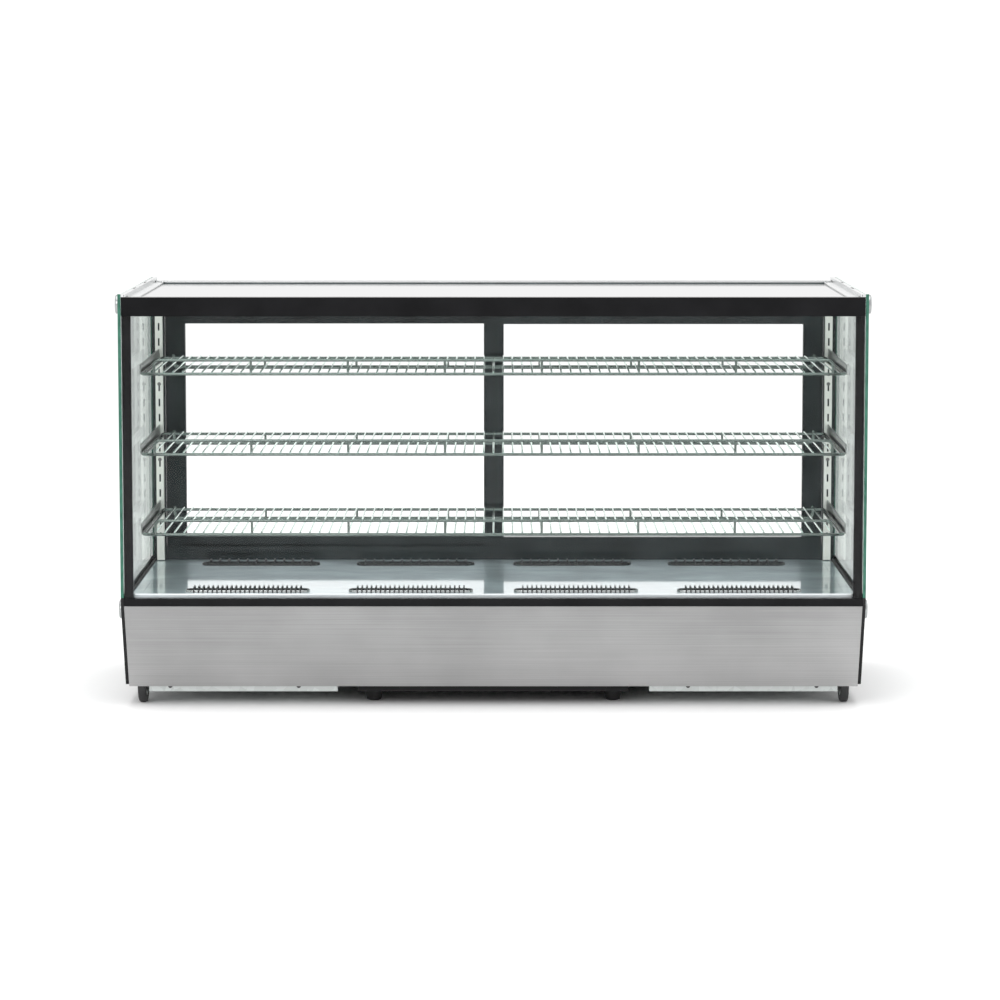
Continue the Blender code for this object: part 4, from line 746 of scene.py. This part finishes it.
def vent_row(node, sizes):
    """Collars, ribs with the collars' dark lining, and a thin near-black sheet in each of the four vents of one
    row, painted shade for the dark inside of the vent.
    """
    low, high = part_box(node)
    centre = (low.y + high.y) / 2
    long, wide, tall = sizes.vent_long, sizes.vent_wide, sizes.vent_high
    top = DECK_TOP + tall * COLLAR_SHARE
    collar = [(0, low.z), (0, top - 0.0012), (-0.0003, top - 0.0003), (-VENT_LIP, top), (-0.0009, low.z)]
    lining = [(-VENT_LIP, low.z), (-VENT_LIP, top - 0.0001), (-VENT_WALL, top - 0.0012), (-VENT_WALL, low.z)]
    sweep = np.linspace(-1, 1, 9)
    arch = np.concatenate([[low.z], DECK_TOP + tall * (RIB_CROWN - RIB_DROP * sweep ** 6), [low.z]])
    across = centre + np.concatenate([[-1], sweep, [1]]) * (wide / 2 + RIB_SPREAD)
    rib_places = np.linspace(-1, 1, VENT_RIBS[node]) * (long - wide) / 2
    last = high.x - long / 2 - VENT_END
    rims, ribs, meshes = [], [], []
    for share in VENT_PLACES:
        middle = share * last
        rims.append(rim(middle, centre, long, wide, collar))
        ribs.append(rim(middle, centre, long, wide, lining))
        for place in middle + rib_places:
            wire = np.stack([np.full(len(arch), place), across, arch], -1)
            ribs.append(tube(wire, RIB_RADIUS, (1, 0, 0), 8))
        # painted shade: a thin near-black sheet across the vent just above the deck stands for the dark inside
        # of the vent
        line, _ = obround(middle, centre, long - 0.004, wide - 0.004)
        sheet = np.concatenate([line, np.full((len(line), 1), DECK_TOP + 0.0008)], 1)
        meshes.append(skin(np.stack([sheet - (0, 0, 0.0006), sheet])))
    return rims, ribs, meshes


class CASE_OT_air_vents(bpy.types.Operator):
    """Raised vent collars with rounded rims and arched ribs"""
    bl_idname = "display_case.air_vents"
    bl_label = "Air vents"

    def execute(self, context):
        for node in VENT_RIBS:
            rims, ribs, meshes = vent_row(node, context.scene.case_sizes)
            made = piece(node + "_ribs", ribs, FINISHES["vent"], smooth=50.0)
            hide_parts(node)
            edge = FINISHES["rim" if node.startswith("front") else "vent"]
            piece(node + "_rims", rims, edge, smooth=50.0)
            # the vent's painted shade sheet
            piece(node + "_mesh", meshes, FINISHES["vent_shade"], smooth=50.0)
        return {"FINISHED"}


def tyre_profile(radius, tread, half):
    """Solid tyre: flat tread between rounded shoulders, the second half mirrored from the first."""
    edge = [(radius, half - 0.003), (radius - 0.0008, half - 0.0009), (radius - 0.003, half),
            (tread + 0.001, half * 0.92), (tread, half * 0.75)]
    return [(out, -along) for out, along in edge[::-1]] + edge


def hub_profile(tread, half):
    """Pressed hub: a boss, a dished web and a flange up to the tyre's inside."""
    return [(0.004, half * 0.98), (0.009, half * 0.98), (0.011, half * 0.55), (0.017, half * 0.45),
            (0.020, half * 0.85), (tread - 0.001, half * 0.88), (tread - 0.0002, half * 0.72),
            (tread - 0.0002, -half * 0.7), (0.012, -half * 0.8), (0.004, -half * 0.98)]


def foot_profile(wide, tall):
    """Rubber foot: a hollow ring face below, and a side that widens to the rounded top edge."""
    return [(0.0, 0.0006), (0.004, 0.0006), (0.0055, 0.0), (0.0095, 0.0), (0.0112, 0.0007), (0.0119, 0.0022),
            (0.0126, 0.0050), (wide * 0.92, tall * 0.72), (wide - 0.0002, tall - 0.0025),
            (wide, tall - 0.0014), (wide - 0.0006, tall), (0.0, tall)]


class CASE_OT_wheels_and_feet(bpy.types.Operator):
    """Tyred wheels with their hubs, and tapered rubber feet"""
    bl_idname = "display_case.wheels_and_feet"
    bl_label = "Wheels and feet"

    def execute(self, context):
        for node in WHEELS:
            low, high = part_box(node)
            centre = (low + high) / 2
            radius, half = (high.z - low.z) / 2, (high.x - low.x) / 2
            tread = radius * TYRE_INSIDE
            inward = -1 if centre.x > 0 else 1
            bolt = [(0.0, half * 0.9), (BOLT_RADIUS, half * 0.98), (BOLT_RADIUS, half + 0.0030),
                    (BOLT_RADIUS - 0.0016, half + 0.0040), (0.0, half + 0.0040)]
            for part, profile, finish, slot, sides, smooth in (
                    ("tyre", tyre_profile(radius, tread, half), "tyre", "tyre_rubber", 48, 50.0),
                    ("hub", hub_profile(tread, half), "zinc", "galvanised", 40, 40.0),
                    ("bolt", bolt, "screw", "galvanised", 6, 20.0)):
                shape = turned(profile, centre, "X", inward, sides)
                made = piece(f"{node}_{part}", [shape], FINISHES[finish], node, smooth)
                if part == "tyre":
                    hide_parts(node)
        for node in FEET:
            low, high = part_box(node)
            profile = foot_profile((high.x - low.x) / 2, high.z - low.z)
            foot = turned(profile, ((low.x + high.x) / 2, (low.y + high.y) / 2, low.z), "Z", 1, 40)
            made = piece(node + "_rubber", [foot], FINISHES["rubber"], smooth=50.0)
            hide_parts(node)
        return {"FINISHED"}


def dome(radius, height):
    """Profile of a low domed disc: a quarter round edge, then a slight rise to the middle."""
    angle = np.linspace(0, math.pi / 2, 5)
    edge = np.stack([radius - height * 0.5 * (1 - np.cos(angle)), height * 0.8 * np.sin(angle)], -1)
    return [(0.0, -0.0006), (radius, -0.0006), *edge, (radius * 0.5, height * 0.95), (0.0, height)]


class CASE_OT_glass_caps(bpy.types.Operator):
    """Polished caps on the bolts that hold the side glasses"""
    bl_idname = "display_case.glass_caps"
    bl_label = "Glass caps"

    def execute(self, context):
        sizes = context.scene.case_sizes
        radius, proud = sizes.cap_radius, sizes.cap_proud
        profile = [(0.0, -0.0002), (radius - 0.0008, -0.0002), (radius, 0.0006), (radius, proud - 0.0016),
                   (radius - 0.0005, proud - 0.0006), (radius - 0.0016, proud - 0.0001),
                   (radius - 0.0030, proud), (radius * 0.5, proud), (0.0, proud)]
        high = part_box("front_rail")[1].z - HIGH_CAP_DOWN
        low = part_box("front_panel")[1].z - LOW_CAP_DOWN
        places = ((FRONT + CAP_IN, high), (FRONT + LOW_CAP_BACK, low), (BACK - CAP_IN, high),
                  (BACK - CAP_IN, low))
        for label, side in SIDES:
            shapes = [turned(profile, (side * GLASS_OUT, y, z), "X", side, 40) for y, z in places]
            piece(label + "_glass_caps", shapes, FINISHES["cap"], smooth=35.0)
        return {"FINISHED"}


class CASE_OT_seals_and_screws(bpy.types.Operator):
    """Deck seals, pilaster screws, bracket rivets, tray screws and base studs"""
    bl_idname = "display_case.seals_and_screws"
    bl_label = "Seals and screws"

    def execute(self, context):
        low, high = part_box("deck")
        for label, side in SIDES:
            middle, half = side * (high.x + GLASS_IN) / 2, (GLASS_IN - high.x) / 2 - SEAL_SLACK
            lip = rounded(half, SEAL_HALF, SEAL_ROUND)[:, ::-1]
            seal = bar(lip, (DECK_TOP - SEAL_DOWN, middle), "Y", low.y + 0.0015, high.y - 0.0005)
            piece(label + "_deck_seal", [seal], FINISHES["rubber"])
        screws, rivets = [], []
        for label, side in SIDES:
            low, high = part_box(label + "_pilaster")
            middle = (low.x + high.x) / 2
            screws += [turned(dome(*PILASTER_SCREW), (middle, low.y, height), "Y", -1, 16)
                       for height in SCREW_HEIGHTS]
            for level in LEVELS:
                low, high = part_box(f"{level}_{label}_bracket")
                face = low.x + BRACKET_FOLD if side > 0 else high.x - BRACKET_FOLD
                for back in RIVET_BACKS:
                    place = (face, low.y + back, low.z + RIVET_UP)
                    rivets.append(turned(dome(*RIVET), place, "X", -side, 14))
        piece("pilaster_screws", screws, FINISHES["dull_screw"])
        piece("bracket_rivets", rivets, FINISHES["screw"])
        low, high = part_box("right_base_tray")
        heads = [turned(dome(*TRAY_SCREW), (side * x, low.y, high.z - TRAY_SCREW[1]), "Y", -1, 18)
                 for x in TRAY_SCREWS for _, side in SIDES]
        piece("tray_screws", heads, FINISHES["dark_screw_and_slot_shade"])
        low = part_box("centre_base_plate")[0]
        studs = [turned(dome(*STUD), (x, low.y + back, low.z), "Z", -1, 14)
                 for x in STUD_PLACES for back in STUD_BACKS]
        piece("base_studs", studs, FINISHES["dark_screw_and_slot_shade"])
        return {"FINISHED"}


class CASE_OT_top_trim(bpy.types.Operator):
    """Fine ribs of the top channels, and thin dark strips as painted shade in their slots"""
    bl_idname = "display_case.top_trim"
    bl_label = "Top channel ribs"

    def execute(self, context):
        face_rib, edge_rib = rounded(0.0003, 0.0006, 0.00025, 2), rounded(0.0002, 0.0006, 0.00015, 2)
        slot, end_slot_shade = rounded(0.00016, 0.0016, 0.00008, 2), rounded(0.0014, 0.0005, 0.0002, 2)
        ribs, slot_shades = [], []
        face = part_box("top_glass")[1].z + CHANNEL_FACE
        for label, side in SIDES:
            low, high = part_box(label + "_top_channel")
            outer = max(abs(low.x), abs(high.x))
            for inset in FACE_RIBS:
                ribs.append(bar(face_rib, (face, side * (outer - inset)), "Y", FRONT + CHANNEL_ENDS,
                                BACK - CHANNEL_ENDS, 0.0002))
            for inset in EDGE_RIBS:
                ribs.append(bar(edge_rib, (high.z, side * (outer - inset)), "Y", FRONT + 0.001, BACK - 0.001,
                                0.0001))
            # painted shade: each slot is a thin dark strip laid on the channel's top, and the open front end a
            # thin dark plate on its end face
            for back in SLOT_BACKS:
                slot_shades.append(bar(slot, (high.z, side * (outer - SLOT_IN)), "Y", FRONT + back - SLOT_HALF,
                                 FRONT + back + SLOT_HALF, 0.0001))
            place = (high.z - END_SLOT_DOWN, side * (outer - END_SLOT_IN))
            slot_shades.append(bar(end_slot_shade, place, "Y", FRONT + 0.0001, FRONT + 0.0005, 0.0001))
        piece("top_channel_ribs", ribs, FINISHES["aluminium"])
        piece("top_channel_slots", slot_shades, FINISHES["dark_screw_and_slot_shade"])
        return {"FINISHED"}


def fluted_dial(radius, face, centre):
    """Knob turned about Y: a flat skirt and a raised grip, with every second line of the grip drawn in."""
    profile = [(0.0, 0.0002), (radius - 0.0010, 0.0002), (radius, 0.0010), (radius - 0.0002, 0.0028),
               (radius * 0.80, 0.0042), (radius * 0.76, 0.0060), (radius * 0.74, 0.0115),
               (radius * 0.71, 0.0125), (radius * 0.60, 0.0128), (0.0, 0.0128)]
    points, faces = turned(profile, (centre.x, face, centre.z), "Y", 1, KNOB_FLUTES * 2)
    grooves = points.reshape(len(profile), KNOB_FLUTES * 2, 3)[4:7, ::2, ::2]
    grooves[:] = (grooves - (centre.x, centre.z)) * FLUTE_DEPTH + (centre.x, centre.z)
    return points, faces


def dial_mark(angle, face, reach, centre):
    """Short dash beside the knob: (along, out) from the knob's middle, turned by the angle about Y."""
    dash = rounded(0.0018, 0.0004, 0.0002, 2)
    points, faces = bar(dash, (0.0, 0.0), "Y", face - 0.0006, face + 0.0001, 0.00005)
    along, out = points[:, 2], points[:, 0] + reach
    x = along * math.cos(angle) + out * math.sin(angle)
    z = out * math.cos(angle) - along * math.sin(angle)
    return np.stack([centre.x + x, points[:, 1], centre.z + z], -1), faces


class CASE_OT_controls(bpy.types.Operator):
    """Dial marks, indicator lamp and a fluted knob on the rear control plate"""
    bl_idname = "display_case.controls"
    bl_label = "Controls"

    def execute(self, context):
        low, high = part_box("thermostat_knob")
        centre, face, radius = (low + high) / 2, low.y, (high.x - low.x) / 2
        grip = bar(rounded(0.0024, radius * 0.66, 0.0020)[:, ::-1], (centre.z, centre.x), "Y", face + 0.0120,
                   high.y, 0.0006)
        made = piece("thermostat_knob_dial", [fluted_dial(radius, face, centre), grip], FINISHES["plastic"],
                     "thermostat_knob")
        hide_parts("thermostat_knob")
        pointer = bar(rounded(0.0030, 0.0006, 0.0003), (centre.z + radius * 0.50, centre.x), "Y",
                      high.y - 0.0004, high.y + 0.0001, 0.00005)
        piece("thermostat_knob_mark", [pointer], FINISHES["white_mark"], "thermostat_knob")
        marks = [dial_mark(angle, face, radius + DIAL_GAP, centre)
                 for angle in np.radians(np.linspace(-DIAL_SWEEP, DIAL_SWEEP, DIAL_MARKS))]
        piece("dial_marks", marks, FINISHES["white_mark"])
        switch_low, switch_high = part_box("power_switch")
        middle = (switch_low.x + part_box("light_switch")[1].x) / 2
        lamp = turned(dome(*LAMP), (middle, face, switch_high.z + LAMP_UP), "Y", 1, 20)
        piece("heat_lamp", [lamp], FINISHES["amber"])
        return {"FINISHED"}


OPERATORS = (CASE_OT_stage, CASE_OT_finishes, CASE_OT_wire_shelves, CASE_OT_air_vents,
             CASE_OT_wheels_and_feet, CASE_OT_glass_caps, CASE_OT_seals_and_screws, CASE_OT_top_trim,
             CASE_OT_controls)


class CASE_PT_panel(bpy.types.Panel):
    """Lists the steps that build the case's looks"""
    bl_label = "Display case"
    bl_idname = "CASE_PT_panel"
    bl_space_type = "VIEW_3D"
    bl_region_type = "UI"
    bl_category = "Display case"

    def draw(self, context):
        for operator in OPERATORS:
            self.layout.operator(operator.bl_idname)
        for group in (context.scene.case_sizes, context.scene.case_colours):
            column = self.layout.column()
            for name in group.__annotations__:
                column.prop(group, name)


CLASSES = (CaseSizes, CaseColours) + OPERATORS + (CASE_PT_panel,)


def register():
    """Registers the classes and the scene's sizes and colours."""
    for item in CLASSES:
        bpy.utils.register_class(item)
    bpy.types.Scene.case_sizes = bpy.props.PointerProperty(type=CaseSizes)
    bpy.types.Scene.case_colours = bpy.props.PointerProperty(type=CaseColours)


def unregister():
    """Takes them away again."""
    del bpy.types.Scene.case_colours
    del bpy.types.Scene.case_sizes
    for item in reversed(CLASSES):
        bpy.utils.unregister_class(item)


def main():
    """Builds everything."""
    register()
    for operator in OPERATORS:
        group, name = operator.bl_idname.split(".")
        getattr(getattr(bpy.ops, group), name)()


if __name__ == "__main__":
    main()
